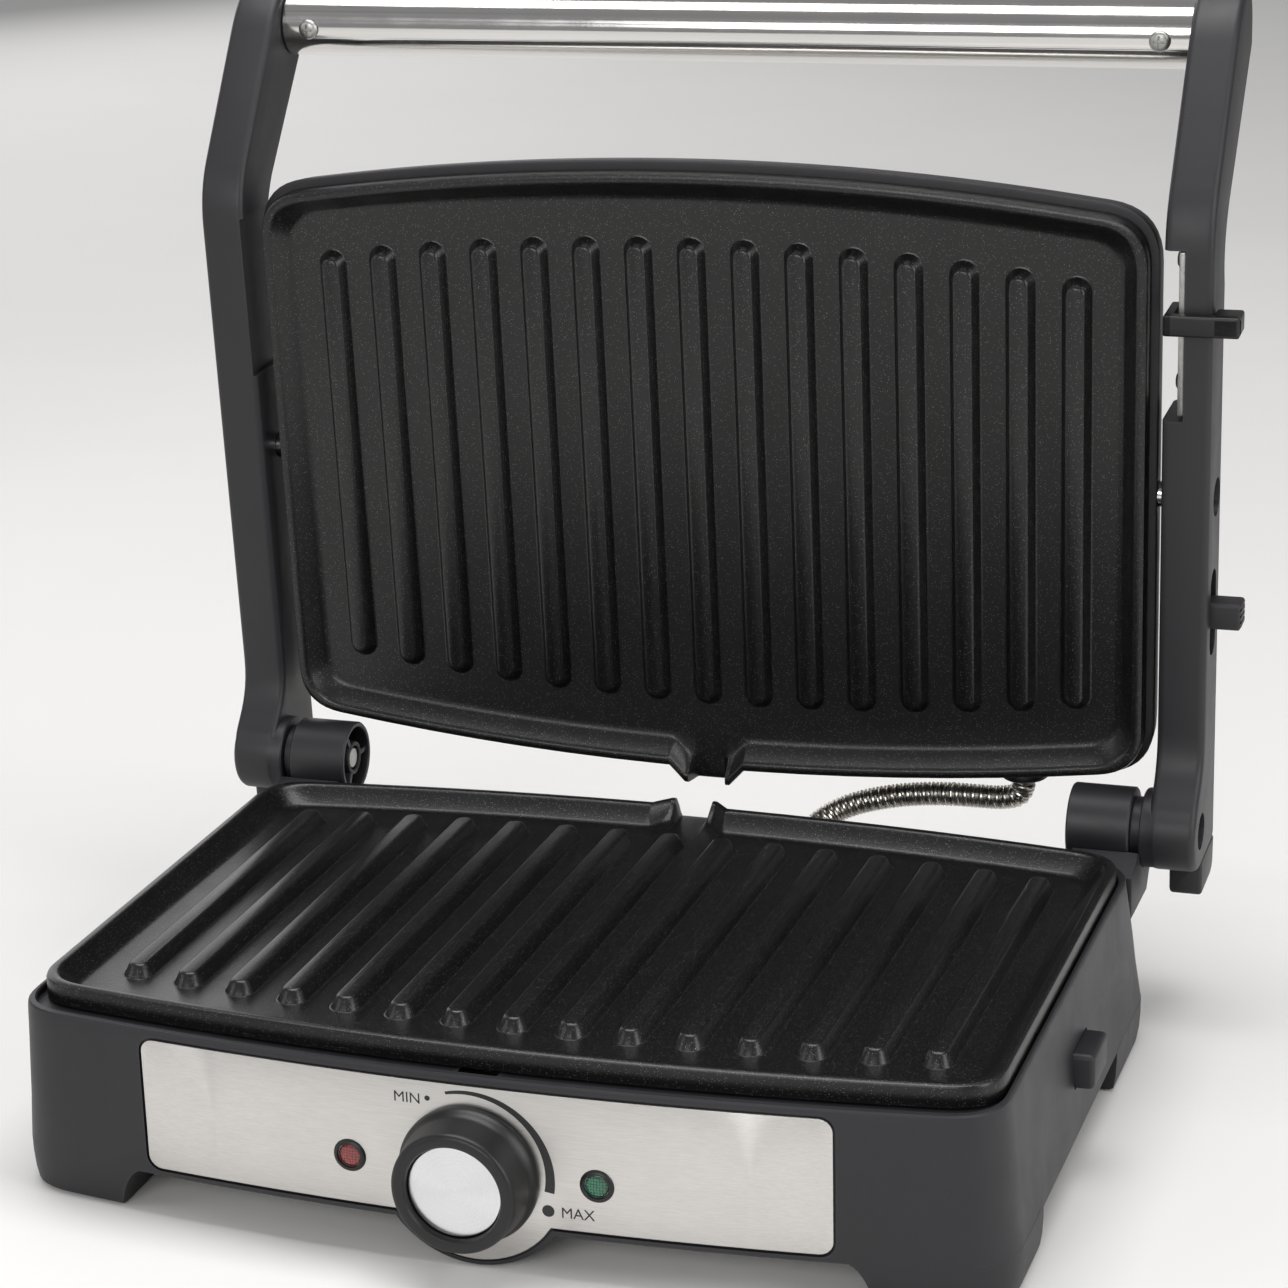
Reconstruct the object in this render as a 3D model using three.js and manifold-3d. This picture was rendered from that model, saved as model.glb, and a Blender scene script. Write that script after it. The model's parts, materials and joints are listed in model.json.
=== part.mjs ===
// Contact grill (panini press): two ribbed lift-out cooking plates, a base with a bowed steel front
// panel, and a lid on swing arms. Millimetres, +Z up. The origin lies on the table under the middle
// of the lower cooking plate; -Y is the front, +X the right-hand side as the user stands before it.
import * as THREE from "three";
import { mergeVertices } from "three/addons/utils/BufferGeometryUtils.js";
import Module from "manifold-3d";

const wasm = await Module();
wasm.setup();

// driving dimensions
const gap = 0.3; // clearance between pieces that touch on the real object
const bow = 5.4e-4; // curvature of the bowed front and rear edges: y grows by bow * x^2

const plate = {
  halfWidth: 145, corner: 14, rimHeight: 6.2, rimWidth: 3.4, wallSlope: 5,
  flange: 7.1, panInset: 6.9, floorThickness: 3.4, ribPitch: 17.5, ribCount: 15,
  ribHalfLength: 78.5, ribWidth: 9, ribTopWidth: 5, ribHeight: 4,
};
const spout = { wide: 13, narrow: 8, reach: 5.6, floor: 2.2, channelWide: 6.6, channelNarrow: 4.4, draft: 2 };
const lower = { floor: 58, front: -102.7, rear: 97.6 };
const upper = { floor: 10.8, front: -205.3, rear: -4.8 }; // in the lid's own frame
const hinge = { y: 110.5, z: 65.2, restAngle: -86.5, barrelRadius: 12.5, barrelIn: 124, barrelOut: 144, neck: 9.6 };
const arm = { inner: 150, bossInner: 147.2, outer: 165, front: 2.5, rear: 25.5, bossRadius: 13, bend: 38, bendAt: 196 };
const handle = { s: 240, t: 57, radius: 10.5, wall: 1, screwX: 140.2 };
const pivot = { s: 106, t: 16.8, radius: 4 };
const base = { top: 59.3, bottom: 13.5, wall: 2.6, deck: 2.4, footInset: 0.6, trough: 6 };
const deckTop = lower.floor + plate.rimHeight - plate.flange - gap; // the flange rests just above this
const panel = { halfWidth: 103.1, low: 15.7, high: 56.5, corner: 4, thickness: 0.8, frontY: -112.4 };
const knob = { z: 30.3, skirt: 20.7, bowl: 29.8, panelBowl: 27.3, depth: 15.8, face: 12.2, shaft: 3 };
const lampX = 37;
const button = { z: 33.3, halfLength: 10, halfHeight: 5.5, face: 155.5 };
const upperMiddle = (upper.front + upper.rear) / 2;

// materials
const finish = (color, roughness, metalness = 0) =>
  new THREE.MeshStandardMaterial({ color, roughness, metalness });

const material = {
  plastic: finish(0x38383c, 0.55),
  nonstick: finish(0x1c1b1c, 0.45, 0.2),
  brushedSteel: finish(0xc9c6c2, 0.35, 1),
  polishedSteel: finish(0xd8d6d3, 0.12, 1),
  zinc: finish(0xb4b4b0, 0.4, 1),
  aluminium: finish(0xd2d2d0, 0.25, 1),
  rubber: finish(0x1a1a1b, 0.85),
  redLens: finish(0xa0443c, 0.3),
  greenLens: finish(0x1a8a63, 0.3),
  ceramic: finish(0xd8d2c4, 0.8),
  sheath: finish(0x9a958c, 0.4, 1),
};

// solids
// A closed three.js geometry as a solid that can be joined and cut.
function solid(geometry) {
  const bare = geometry.clone();
  for (const name of Object.keys(bare.attributes)) {
    if (name !== "position") bare.deleteAttribute(name);
  }
  const merged = mergeVertices(bare, 1e-4);
  return new wasm.Manifold(new wasm.Mesh({
    numProp: 3,
    vertProperties: new Float32Array(merged.attributes.position.array),
    triVerts: new Uint32Array(merged.index.array),
  }));
}

function geometryOf(shape) {
  const mesh = shape.getMesh();
  const geometry = new THREE.BufferGeometry();
  geometry.setAttribute("position", new THREE.BufferAttribute(mesh.vertProperties, 3));
  geometry.setIndex(new THREE.BufferAttribute(mesh.triVerts, 1));
  const flat = geometry.toNonIndexed();
  flat.computeVertexNormals();
  return flat;
}

const join = (first, ...others) => others.reduce((all, next) => all.add(next), first);
const cut = (first, ...others) => others.reduce((all, next) => all.subtract(next), first);

function block(x0, x1, y0, y1, z0, z1) {
  const geometry = new THREE.BoxGeometry(x1 - x0, y1 - y0, z1 - z0);
  return solid(geometry.translate((x0 + x1) / 2, (y0 + y1) / 2, (z0 + z1) / 2));
}

// A round bar from one point to another.
function rod(radius, from, to, sides = 24, endRadius = radius) {
  const start = new THREE.Vector3(...from);
  const end = new THREE.Vector3(...to);
  const along = end.clone().sub(start);
  const geometry = new THREE.CylinderGeometry(endRadius, radius, along.length(), sides);
  const turn = new THREE.Quaternion().setFromUnitVectors(new THREE.Vector3(0, 1, 0), along.normalize());
  geometry.applyQuaternion(turn);
  return solid(geometry.translate(...start.add(end).multiplyScalar(0.5).toArray()));
}

// A closed solid through a stack of outlines, lowest first; all outlines have the same point count.
function loft(levels) {
  const count = levels[0].outline.length;
  const positions = levels.flatMap(({ outline, z }) => outline.flatMap((p) => [p.x, p.y, z]));
  const index = [];
  for (let level = 0; level < levels.length - 1; level += 1) {
    for (let i = 0; i < count; i += 1) {
      const a = level * count + i;
      const b = level * count + ((i + 1) % count);
      index.push(a, b, b + count, a, b + count, a + count);
    }
  }
  const last = (levels.length - 1) * count;
  for (const [a, b, c] of THREE.ShapeUtils.triangulateShape(levels[0].outline, [])) {
    index.push(a, c, b);
  }
  for (const [a, b, c] of THREE.ShapeUtils.triangulateShape(levels.at(-1).outline, [])) {
    index.push(last + a, last + b, last + c);
  }
  const geometry = new THREE.BufferGeometry();
  geometry.setAttribute("position", new THREE.Float32BufferAttribute(positions, 3));
  geometry.setIndex(index);
  return solid(geometry);
}

// Shape drawn in (Y-forward s, Z-up t) and pushed along X: s runs towards -Y, t towards +Z.
function pushAlongX(shape, x0, x1, curveSegments = 5) {
  const geometry = new THREE.ExtrudeGeometry(shape, { depth: x1 - x0, bevelEnabled: false, curveSegments });
  const axes = new THREE.Matrix4().makeBasis(
    new THREE.Vector3(0, -1, 0), new THREE.Vector3(0, 0, 1), new THREE.Vector3(-1, 0, 0));
  return solid(geometry.applyMatrix4(axes.setPosition(x1, 0, 0)));
}

// Shape drawn in (x, z) and pushed along Y from yFront to yRear.
function pushAlongY(shape, yFront, yRear, curveSegments = 8) {
  const depth = yRear - yFront;
  const geometry = new THREE.ExtrudeGeometry(shape, { depth, bevelEnabled: false, curveSegments });
  const axes = new THREE.Matrix4().makeBasis(
    new THREE.Vector3(1, 0, 0), new THREE.Vector3(0, 0, 1), new THREE.Vector3(0, -1, 0));
  return solid(geometry.applyMatrix4(axes.setPosition(0, yRear, 0)));
}

// Round tube or bar swept along a list of points.
function sweep(radius, points, steps, sides = 10) {
  const curve = new THREE.CatmullRomCurve3(points.map((p) => new THREE.Vector3(...p)));
  const section = new THREE.Shape(Array.from({ length: sides }, (_, i) => {
    const angle = (2 * Math.PI * i) / sides;
    return new THREE.Vector2(radius * Math.cos(angle), radius * Math.sin(angle));
  }));
  return solid(new THREE.ExtrudeGeometry(section, { steps, extrudePath: curve, bevelEnabled: false }));
}

function roundedRectangle(x0, x1, y0, y1, corner) {
  const shape = new THREE.Shape();
  shape.moveTo(x0 + corner, y0);
  shape.lineTo(x1 - corner, y0);
  shape.quadraticCurveTo(x1, y0, x1, y0 + corner);
  shape.lineTo(x1, y1 - corner);
  shape.quadraticCurveTo(x1, y1, x1 - corner, y1);
  shape.lineTo(x0 + corner, y1);
  shape.quadraticCurveTo(x0, y1, x0, y1 - corner);
  shape.lineTo(x0, y0 + corner);
  shape.quadraticCurveTo(x0, y0, x0 + corner, y0);
  return shape;
}

// The bowed outline shared by the plates, base and lid: straight sides, curved front and rear.
function bowedOutline({ halfWidth, front, rear, corner, rearBow = bow }, inset = 0) {
  const w = halfWidth - inset;
  const r = Math.max(corner - inset / 2, 4);
  const edge = w - r;
  const frontEnd = front + inset + bow * edge * edge;
  const rearEnd = rear - inset - rearBow * edge * edge;
  const frontCorner = frontEnd + 2 * bow * edge * r;
  const rearCorner = rearEnd - 2 * rearBow * edge * r;
  const shape = new THREE.Shape();
  shape.moveTo(-edge, frontEnd);
  shape.quadraticCurveTo(0, 2 * (front + inset) - frontEnd, edge, frontEnd);
  shape.quadraticCurveTo(w, frontCorner, w, frontCorner + r);
  shape.lineTo(w, rearCorner - r);
  shape.quadraticCurveTo(w, rearCorner, edge, rearEnd);
  shape.quadraticCurveTo(0, 2 * (rear - inset) - rearEnd, -edge, rearEnd);
  shape.quadraticCurveTo(-w, rearCorner, -w, rearCorner - r);
  shape.lineTo(-w, frontCorner + r);
  shape.quadraticCurveTo(-w, frontCorner, -edge, frontEnd);
  const points = shape.getPoints(5);
  return points.at(-1).distanceTo(points[0]) < 1e-6 ? points.slice(0, -1) : points;
}

const bowedLoft = (levels, inset = 0) =>
  loft(levels.map((level) => ({ outline: bowedOutline(level, inset), z: level.z })));

// scene graph
const press = new THREE.Group();
const lid = new THREE.Group(); // modelled closed, with the hinge axis as its X axis
lid.position.set(0, hinge.y, hinge.z);
lid.rotation.x = THREE.MathUtils.degToRad(hinge.restAngle);
press.add(lid);

function place(name, surface, shape, parent = press) {
  const mesh = new THREE.Mesh(geometryOf(shape), surface);
  mesh.name = name;
  parent.add(mesh);
}

const sides = [["left", -1], ["right", 1]];

// cooking plates
// A pan-shaped plate facing up: rim flange, pan, ribs, and a grease spout in the rear edge.
function cookingPlate(floor, front, rear) {
  const rim = floor + plate.rimHeight;
  const outline = { halfWidth: plate.halfWidth, corner: plate.corner, front, rear };
  const flange = bowedLoft([{ ...outline, z: rim - plate.flange }, { ...outline, z: rim }]);
  const pan = loft([
    { outline: bowedOutline(outline, plate.panInset + 1.5), z: floor - plate.floorThickness },
    { outline: bowedOutline(outline, plate.panInset), z: rim - plate.flange + 0.5 },
  ]);
  const recess = loft([
    { outline: bowedOutline(outline, plate.rimWidth + plate.wallSlope), z: floor },
    { outline: bowedOutline(outline, plate.rimWidth), z: rim + 0.1 },
  ]);
  const tongue = spoutOutline(rear, spout.wide, spout.narrow, spout.reach);
  const lip = loft([{ outline: tongue, z: floor - spout.floor }, { outline: tongue, z: rim - 0.02 }]);
  const channel = loft([0, spout.draft].map((draft) => ({
    outline: spoutOutline(rear, spout.channelWide + draft, spout.channelNarrow + draft, spout.reach + 7),
    z: floor + (draft ? plate.rimHeight + 0.2 : 0),
  })));
  return join(cut(join(flange, pan, lip), recess, channel), ...ribs(floor));
}

// Trapezoid that narrows towards the rear and ends `reach` beyond the rear edge.
function spoutOutline(rear, wide, narrow, reach) {
  return [
    new THREE.Vector2(-wide, rear - 14), new THREE.Vector2(wide, rear - 14),
    new THREE.Vector2(wide, rear - 2), new THREE.Vector2(narrow, rear + reach),
    new THREE.Vector2(-narrow, rear + reach), new THREE.Vector2(-wide, rear - 2),
  ];
}

function ribs(floor) {
  return Array.from({ length: plate.ribCount }, (_, i) => {
    const x = (i - (plate.ribCount - 1) / 2) * plate.ribPitch;
    const halfLength = plate.ribHalfLength - bow * x * x;
    return loft([
      { outline: stadium(x, plate.ribWidth / 2, halfLength), z: floor - 0.5 },
      { outline: stadium(x, plate.ribTopWidth / 2, halfLength - 2.4), z: floor + plate.ribHeight },
    ]);
  });
}

function stadium(x, radius, halfLength, steps = 5) {
  const points = [];
  for (const end of [1, -1]) {
    for (let i = 0; i <= steps; i += 1) {
      const angle = (Math.PI * i) / steps;
      points.push(new THREE.Vector2(
        x + end * radius * Math.cos(angle),
        end * (halfLength - radius + radius * Math.sin(angle))));
    }
  }
  return points;
}

function plates() {
  place("lower_plate", material.nonstick, cookingPlate(lower.floor, lower.front, lower.rear));
  // The upper plate is the same casting turned over; y is counted from the lid's hinge axis.
  const turned = cookingPlate(-upper.floor, upper.front - upperMiddle, upper.rear - upperMiddle);
  place("upper_plate", material.nonstick,
    turned.rotate([0, 180, 0]).translate([0, upperMiddle, 0]), lid);
}

// base
const baseLevels = [
  { z: base.bottom, halfWidth: 151, front: -112.6, rear: 110.5, corner: 18, rearBow: 2.5e-4 },
  { z: 28, halfWidth: 149.8, front: -112.6, rear: 107.5, corner: 18, rearBow: 3.2e-4 },
  { z: 46, halfWidth: 148.4, front: -112.5, rear: 104.5, corner: 17, rearBow: 4.2e-4 },
  { z: 55, halfWidth: 147.7, front: -112.3, rear: 102.5, corner: 16, rearBow: 5e-4 },
  { z: base.top, halfWidth: 147.1, front: -111.9, rear: 101.5, corner: 15, rearBow: 5e-4 },
];

// The curved front wall between two distances from the bowed front line.
function frontBand(outward, inward, z0, z1) {
  const reach = 125;
  const y = (offset) => panel.frontY + offset;
  const shape = new THREE.Shape();
  shape.moveTo(-reach, y(outward) + bow * reach * reach);
  shape.quadraticCurveTo(0, y(outward) - bow * reach * reach, reach, y(outward) + bow * reach * reach);
  shape.lineTo(reach, y(inward) + bow * reach * reach);
  shape.quadraticCurveTo(0, y(inward) - bow * reach * reach, -reach, y(inward) + bow * reach * reach);
  const geometry = new THREE.ExtrudeGeometry(shape, { depth: z1 - z0, bevelEnabled: false, curveSegments: 14 });
  return solid(geometry.translate(0, 0, z0));
}

function panelOutline(grow) {
  const { halfWidth: w, low, high, corner } = panel;
  const face = pushAlongY(
    roundedRectangle(-w - grow, w + grow, low - grow, high + grow, corner + grow), -116, -95);
  return join(face, rod(knob.panelBowl + grow, [0, -116, knob.z], [0, -95, knob.z], 40));
}

const footPlaces = [[-128, -84], [128, -84], [-128, 78], [128, 78]];

function baseHousing() {
  const shell = bowedLoft(baseLevels);
  const bowl = rod(knob.bowl, [0, -111.9, knob.z], [0, -96, knob.z], 40)
    .intersect(block(-40, 40, -120, -90, -5, knob.z + 10));
  const cavity = loft([
    { outline: bowedOutline(baseLevels[0], base.wall + 1), z: base.bottom - 12 },
    { outline: bowedOutline(baseLevels[0], base.wall + 1), z: base.bottom + 1.6 },
    { outline: bowedOutline(baseLevels[2], base.wall + 1), z: 46 },
    { outline: bowedOutline(baseLevels[3], base.wall + 0.4), z: deckTop - base.deck },
  ]);
  const bowlHollow = rod(knob.bowl - 2.6, [0, -107, knob.z], [0, -90, knob.z], 24);
  const opening = bowedLoft([0, 1].map((i) => ({
    halfWidth: plate.halfWidth, corner: plate.corner, front: lower.front, rear: lower.rear,
    z: base.top - 6 + 8 * i,
  })), plate.panInset - 0.8);
  const seat = bowedLoft([deckTop, base.top + 1].map((z) => ({
    halfWidth: plate.halfWidth, corner: plate.corner, front: lower.front - base.trough, rear: lower.rear, z,
  })), -0.5);
  const legOutline = bowedOutline({ ...baseLevels[0] }, 0.6);
  const legBand = loft([{ outline: legOutline, z: base.footInset }, { outline: legOutline, z: base.bottom + 0.4 }]);
  const legs = footPlaces.map(([x, y]) => legBand.intersect(cornerLeg(Math.sign(x), Math.sign(y))));
  const brackets = sides.map(([, side]) => hingeBracket(side));
  const whole = join(cut(join(shell, bowl), cavity, bowlHollow, opening), ...legs, ...brackets, ...screwBosses());
  const recess = panelOutline(0.8).intersect(frontBand(-3, panel.thickness + gap, 0, 60));
  const pockets = footPlaces.map(([x, y]) => rod(9.3, [x, y, 0], [x, y, 5.3], 20));
  const screwHoles = bottomScrewPlaces.map(([x, y]) => rod(1.9, [x, y, 0], [x, y, 24], 10));
  const spoutNotch = block(-spout.wide - 0.5, spout.wide + 0.5, 84, 107, lower.floor - spout.floor - 0.4, 62);
  const holes = [
    spoutNotch,
    rod(5.5, [0, -116, knob.z], [0, -90, knob.z], 20),
    ...[-lampX, lampX].map((x) => rod(4.9, [x, -116, knob.z], [x, -90, knob.z], 16)),
    block(130, 160, -button.halfLength - 0.4, button.halfLength + 0.4,
      button.z - button.halfHeight - 0.4, button.z + button.halfHeight + 0.4),
    rod(7.3, [cordInlet.x, 90, cordInlet.z], [cordInlet.x, 120, cordInlet.z], 20),
    rod(6.3, [conduit.x, 88, conduit.z], [conduit.x, 120, conduit.z], 20),
    ...sides.map(([, side]) => rod(hinge.barrelRadius + gap,
      [side * 119, hinge.y, hinge.z], [side * 152, hinge.y, hinge.z], 32)),
  ];
  return cut(whole, seat, recess, ...pockets, ...screwHoles, ...holes);
}

// A leg with a sloping arch shoulder, and an inner face that leaves the middle of the base open.
function cornerLeg(sideX, sideY) {
  const shape = new THREE.Shape();
  shape.moveTo(114.5, 0);
  shape.lineTo(160, 0);
  shape.lineTo(160, base.bottom + 1);
  shape.lineTo(104, base.bottom + 1);
  shape.quadraticCurveTo(112.5, base.bottom, 114.5, 0);
  const slab = pushAlongY(shape, sideY > 0 ? 50 : -125, sideY > 0 ? 120 : -58);
  return sideX > 0 ? slab : slab.mirror([1, 0, 0]);
}

// Saddle that carries a hinge barrel at the rear corner.
function hingeBracket(side) {
  const outline = [[88, 42], [114, 42], [120, 49], [120, 63], [104, 63], [88, 56]]
    .map(([y, z]) => new THREE.Vector2(-y, z));
  const [x0, x1] = side > 0 ? [126, 147.6] : [-147.6, -126];
  return pushAlongX(new THREE.Shape(outline), x0, x1);
}

// Inner bosses that take the bottom screws, each tied to the side wall by a rib.
function screwBosses() {
  const posts = bottomScrewPlaces.map(([x, y]) =>
    rod(4.5, [x, y, base.bottom + 1.5], [x, y, 26], 12));
  const ribsToWall = bottomScrewPlaces.map(([x, y]) =>
    block(Math.min(x, Math.sign(x) * 148), Math.max(x, Math.sign(x) * 148), y - 1.2, y + 1.2,
      base.bottom + 1.5, 26));
  return [...posts, ...ribsToWall];
}

const bottomScrewPlaces = [[-126, -52], [126, -52], [-126, 46], [126, 46]];
const cordInlet = { x: -72, z: 26 };
const conduit = { x: 31, z: 46, radius: 4 };

function bottomCover() {
  const outline = bowedOutline({ ...baseLevels[0], rear: 106.5 }, base.wall + 1.6);
  const sheet = loft([{ outline, z: base.bottom - 1 }, { outline, z: base.bottom + 1 }]);
  const vents = [];
  for (let row = -3; row <= 3; row += 1) {
    for (const x of [-45, 0, 45]) vents.push(block(x - 16, x + 16, row * 12 - 1.6, row * 12 + 1.6, 8, 14));
  }
  const corners = footPlaces.map(([x, y]) => {
    const [x0, x1] = x > 0 ? [102, 160] : [-160, -102];
    const [y0, y1] = y > 0 ? [49.5, 130] : [-130, -57.5];
    return block(x0, x1, y0, y1, 8, 14);
  });
  const bowlClear = rod(knob.bowl + 1, [0, -116, knob.z], [0, -93, knob.z], 24);
  const screwHoles = bottomScrewPlaces.map(([x, y]) => rod(1.9, [x, y, 5], [x, y, 20], 10));
  return cut(sheet, ...vents, ...corners, bowlClear, ...screwHoles);
}

function frontPanel() {
  const face = panelOutline(0).intersect(frontBand(0, panel.thickness, 0, 60));
  return cut(face, rod(5.5, [0, -120, knob.z], [0, -100, knob.z], 20),
    ...[-lampX, lampX].map((x) => rod(4.6, [x, -120, knob.z], [x, -100, knob.z], 20)));
}

function screw(headRadius, shaftRadius, headHeight, length, at, direction) {
  const seat = new THREE.Vector3(...at);
  const along = new THREE.Vector3(...direction).normalize();
  const point = (d) => seat.clone().addScaledVector(along, d).toArray();
  const head = rod(headRadius, point(0), point(headHeight), 12, headRadius * 0.75);
  return join(head, rod(shaftRadius, point(0.01), point(-length), 6));
}

function baseParts() {
  place("base_housing", material.plastic, baseHousing());
  place("bottom_cover", material.zinc, bottomCover());
  place("front_panel", material.brushedSteel, frontPanel());
  footPlaces.forEach(([x, y], i) => place(`rubber_foot_${i + 1}`, material.rubber,
    rod(8.6, [x, y, 0], [x, y, 5], 16, 9)));
  bottomScrewPlaces.forEach(([x, y], i) => place(`bottom_screw_${i + 1}`, material.zinc,
    screw(3.4, 1.5, 1.8, 10, [x, y, base.bottom - 1 - gap], [0, 0, -1])));
  place("cord_inlet_bush", material.rubber, cut(
    join(rod(7, [cordInlet.x, 98.5, cordInlet.z], [cordInlet.x, 112, cordInlet.z], 16, 6.2),
      rod(9, [cordInlet.x, 97, cordInlet.z], [cordInlet.x, 99.5, cordInlet.z], 16)),
    rod(3.4, [cordInlet.x, 90, cordInlet.z], [cordInlet.x, 116, cordInlet.z], 12)));
  place("conduit_gland_base", material.plastic, cut(
    join(rod(6, [conduit.x, 95.5, conduit.z], [conduit.x, 108.5, conduit.z], 16),
      rod(8, [conduit.x, 106.5, conduit.z], [conduit.x, 109.5, conduit.z], 16)),
    rod(4.4, [conduit.x, 85, conduit.z], [conduit.x, 112, conduit.z], 12)));
}

// controls and electrics
// Heating element: a bar bent into a flat U with its cold ends turned away from the plate.
function heatingElement(z, middle, away) {
  const [x, near, far] = [92, middle + 52, middle - 58];
  return sweep(3, [
    [-34, near - 6, z + away], [-35, near - 5, z + away * 0.4], [-41, near - 1, z], [-x + 14, near, z],
    [-x + 3, near - 5, z], [-x, near - 20, z], [-x, far + 20, z], [-x + 3, far + 5, z], [-x + 14, far, z],
    [0, far - 2, z],
    [x - 14, far, z], [x - 3, far + 5, z], [x, far + 20, z], [x, near - 20, z], [x - 3, near - 5, z],
    [x - 14, near, z], [41, near - 1, z], [35, near - 5, z + away * 0.4], [34, near - 6, z + away],
  ], 38, 6);
}

// Pressed tray behind an element, open towards the plate, with holes for the element's ends.
function reflector(z, height, front, rear) {
  const outline = { halfWidth: plate.halfWidth, corner: plate.corner, front, rear };
  const tray = bowedLoft([{ ...outline, z }, { ...outline, z: z + height }], 22);
  const hollow = bowedLoft([{ ...outline, z: z + 0.8 }, { ...outline, z: z + height + 1 }], 22.8);
  const middle = (front + rear) / 2;
  const ends = [-36, 36].map((x) => block(x - 7, x + 7, middle + 41, middle + 57, z - 5, z + 3));
  return cut(tray, hollow, ...ends);
}

function controls() {
  const elementZ = lower.floor - plate.floorThickness - gap - 3.4;
  const middle = (lower.front + lower.rear) / 2;
  place("lower_element", material.zinc, heatingElement(elementZ, middle, -8));
  place("lower_reflector", material.brushedSteel,
    reflector(elementZ - 5.5, 5, lower.front, lower.rear));
  place("thermostat", material.ceramic, cut(
    join(block(-13, 13, -98, -84, knob.z - 11, knob.z + 11), block(-19, 19, -84.5, -82.5, knob.z - 6, knob.z + 6)),
    rod(knob.shaft + gap, [0, -99, knob.z], [0, -88, knob.z], 16)));
  place("thermostat_shaft", material.zinc,
    rod(knob.shaft, [0, -88.5, knob.z], [0, panel.frontY - 9, knob.z], 16));
  place("terminal_block", material.ceramic, block(-30, 4, 68, 82, base.bottom + 1 + gap, 26));
  for (const [name, surface, x] of [["red", material.redLens, -lampX], ["green", material.greenLens, lampX]]) {
    const y = panel.frontY + bow * x * x;
    place(`${name}_lens`, surface, join(
      rod(4.2, [x, y + 8, knob.z], [x, y - 0.6, knob.z], 14),
      rod(4.2, [x, y - 0.59, knob.z], [x, y - 1.4, knob.z], 14, 3)));
    place(`${name}_lamp_holder`, material.ceramic, rod(4.2, [x, y + 24, knob.z], [x, y + 8 + gap, knob.z], 14));
  }
  place("control_knob", material.plastic, controlKnob());
  const capY = panel.frontY - knob.face;
  place("knob_cap", material.aluminium, rod(13.6, [0, capY - gap, knob.z], [0, capY - 1.2, knob.z], 28, 13.4));
}

// The knob's profile turned about its axis, with a blind bore for the shaft.
function controlKnob() {
  const profile = [
    [0, 10], [3.3, 10], [3.3, 1], [knob.skirt, 1], [knob.skirt, 3.2], [20.2, 4.2], [18.4, knob.depth - 1],
    [17.8, knob.depth], [14.6, knob.depth], [14.1, knob.face], [0, knob.face],
  ].map(([r, h]) => new THREE.Vector2(r, h));
  const turned = new THREE.LatheGeometry(profile, 28);
  return solid(turned.rotateX(Math.PI)).translate([0, panel.frontY, knob.z]);
}

// Plate-release button in the right wall: block, stem and the hook that holds the plate's edge.
function releaseButton() {
  const { z, halfLength: half, halfHeight: tall, face } = button;
  place("plate_release_button", material.plastic, join(
    block(141, face - 1, -half, half, z - tall, z + tall),
    block(face - 1.1, face, -half + 1, half - 1, z - tall + 1, z + tall - 1),
    rod(3, [141.1, 0, z], [122.5, 0, z], 12),
    block(132, 136, -7, 7, z - 4, 53)));
  place("release_guide", material.zinc, cut(
    block(116, 119.5, -9, 9, base.bottom + 1 + gap, z + 8),
    rod(3 + gap, [110, 0, z], [125, 0, z], 14)));
  place("release_spring", material.zinc, coilSpring(120, 131.6, z, 5, 0.6, 4));
}

function coilSpring(x0, x1, z, radius, wire, turns) {
  const points = [];
  const steps = turns * 9;
  for (let i = 0; i <= steps; i += 1) {
    const angle = (2 * Math.PI * i) / 9;
    points.push([x0 + wire + ((x1 - x0 - 2 * wire) * i) / steps,
      radius * Math.cos(angle), z + radius * Math.sin(angle)]);
  }
  return sweep(wire, points, steps, 4);
}

// hinges
function hinges() {
  for (const [name, side] of sides) {
    const inner = hinge.barrelIn;
    const at = (x) => [side * x, hinge.y, hinge.z];
    const spokes = [90, 210, 330].map((degrees) =>
      block(-0.9, 0.9, 4.6, 11.4, 0, 11.5).rotate([0, 0, degrees]).rotate([0, 90, 0])
        .translate([side > 0 ? inner + 0.8 : -inner - 0.8 - 11.5, hinge.y, hinge.z]));
    const tube = cut(
      join(rod(hinge.barrelRadius, at(inner), at(hinge.barrelOut), 28),
        rod(hinge.neck, at(hinge.barrelOut - 1), at(arm.bossInner - gap), 20)),
      rod(hinge.barrelRadius - 1.8, at(inner - 1), at(inner + 12), 24));
    const hub = rod(5.8, at(inner + 0.6), at(inner + 12.5), 14);
    place(`hinge_barrel_${name}`, material.plastic,
      cut(join(tube, hub, ...spokes), rod(4.3, at(115), at(155), 12)));
    place(`hinge_pin_${name}`, material.zinc, rod(4, at(inner + 1.2), at(160), 12));
  }
}

// lid: arms and handle
// Side profile of an arm in (s along the arm, t away from the lower plate).
function armProfile() {
  const { front, rear, bossRadius, bendAt } = arm;
  const bend = THREE.MathUtils.degToRad(arm.bend);
  const along = (length, across = 0) => [
    bendAt + length * Math.cos(bend) - across * Math.sin(bend),
    front + length * Math.sin(bend) + across * Math.cos(bend)];
  const depth = rear - front;
  const restT = handle.t + handle.radius;
  const shape = new THREE.Shape();
  shape.moveTo(32, front);
  shape.lineTo(bendAt - 7, front);
  shape.quadraticCurveTo(bendAt, front, ...along(7));
  shape.lineTo(...along(58));
  shape.quadraticCurveTo(...along(72), 255, handle.t);
  shape.quadraticCurveTo(253, restT, 241, restT);
  shape.lineTo(235, restT);
  shape.lineTo(...along(14, depth));
  shape.quadraticCurveTo(...along(2, depth), 174, rear);
  shape.lineTo(-9, rear);
  shape.quadraticCurveTo(-bossRadius, rear, -bossRadius, rear - 5);
  shape.lineTo(-bossRadius, 0);
  shape.absarc(0, 0, bossRadius, Math.PI, 1.72 * Math.PI, false);
  shape.bezierCurveTo(14, -8, 17, front, 32, front);
  return shape;
}

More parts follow.
